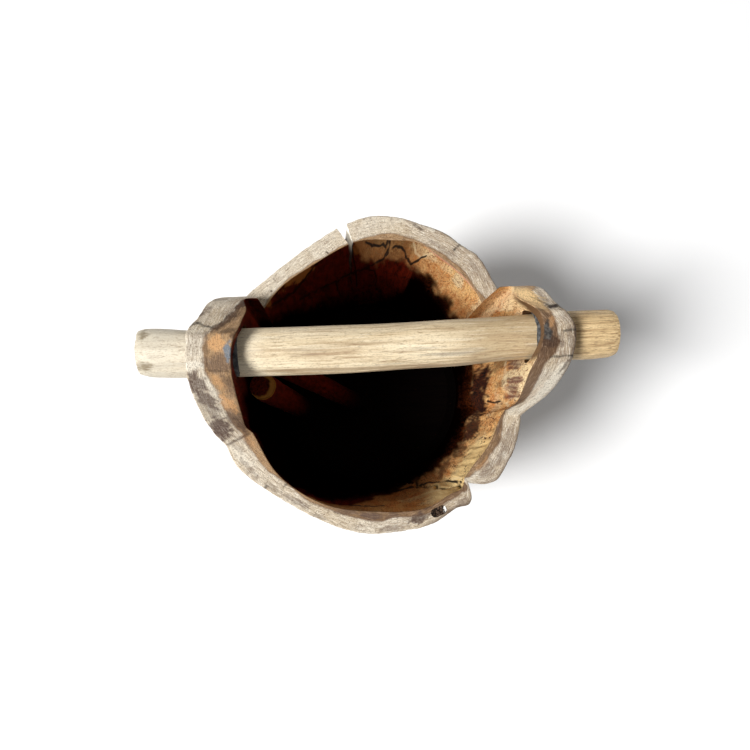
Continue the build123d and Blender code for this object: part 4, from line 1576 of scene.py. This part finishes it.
# %% Floor, lamp and sky
lamp_turn = 197.0
lamp_rise = 52.0
lamp_distance = 8.0
lamp_size = 2.7
lamp_power = 890.0
sky_strength = 0.19
floor_reach = 6.0
floor_level = -0.2 * mm
floor_white = 0.88
paper_lift = 0.06


def camera_share(tree):
    """1 for what the camera sees, directly, in a mirror or through glass, and 0 for light that bounces."""
    path = add(tree, "LightPath").outputs
    seen = calc(tree, "ADD", path["Is Camera Ray"], path["Is Glossy Ray"])
    return calc(tree, "ADD", seen, path["Is Transmission Ray"], clamp=True)


def white_paper():
    tree = open_finish("white_paper")
    paper = add(tree, "BsdfDiffuse", {"Color": (floor_white, floor_white, floor_white, 1)}).outputs[0]
    lift = add(tree, "Emission", {"Strength": times(tree, camera_share(tree), paper_lift)}).outputs[0]
    both = add(tree, "AddShader", {0: paper, 1: lift}).outputs[0]
    add(tree, "OutputMaterial", {"Surface": both})


floor_mesh = bpy.data.meshes.new("paper_floor")
floor_corners = [(-1, -1), (1, -1), (1, 1), (-1, 1)]
floor_points = [(x * floor_reach, y * floor_reach, floor_level) for x, y in floor_corners]
floor_mesh.from_pydata(floor_points, [], [(0, 1, 2, 3)])
white_paper()
floor_mesh.materials.append(bpy.data.materials["white_paper"])
floor = put("paper_floor", floor_mesh)

lamp_data = bpy.data.lights.new("soft_lamp", "AREA")
lamp_data.shape = "DISK"
lamp_data.size = lamp_size
lamp_data.energy = lamp_power
level, rise = math.radians(lamp_turn), math.radians(lamp_rise)
lamp_way = np.array([math.cos(rise) * math.cos(level), math.cos(rise) * math.sin(level), math.sin(rise)])
lamp_side = unit(np.cross([0, 0, 1], lamp_way))
lamp_axes = np.stack([lamp_side, np.cross(lamp_way, lamp_side), lamp_way], 1)
lamp_place = lamp_way * lamp_distance + np.array([0, 0, rim_height])
put("soft_lamp", lamp_data, lamp_axes, lamp_place)

world = bpy.data.worlds.new("even_sky")
bpy.context.scene.world = world
world.use_nodes = True
world.node_tree.nodes.clear()
sky_tree = world.node_tree
shown = camera_share(sky_tree)
strength = add(sky_tree, "Mix", {0: shown, 2: sky_strength, 3: 1.0}, data_type="FLOAT").outputs[0]
sky = add(sky_tree, "Background", {"Color": (1, 1, 1, 1), "Strength": strength}).outputs[0]
add(sky_tree, "OutputWorld", {"Surface": sky})
bpy.context.scene.view_settings.view_transform = "Standard"
print("lamp at", np.round(lamp_place, 2))

# %% [markdown]
# The last cell brings the scene up to date.

# %% The end
bpy.context.view_layer.update()
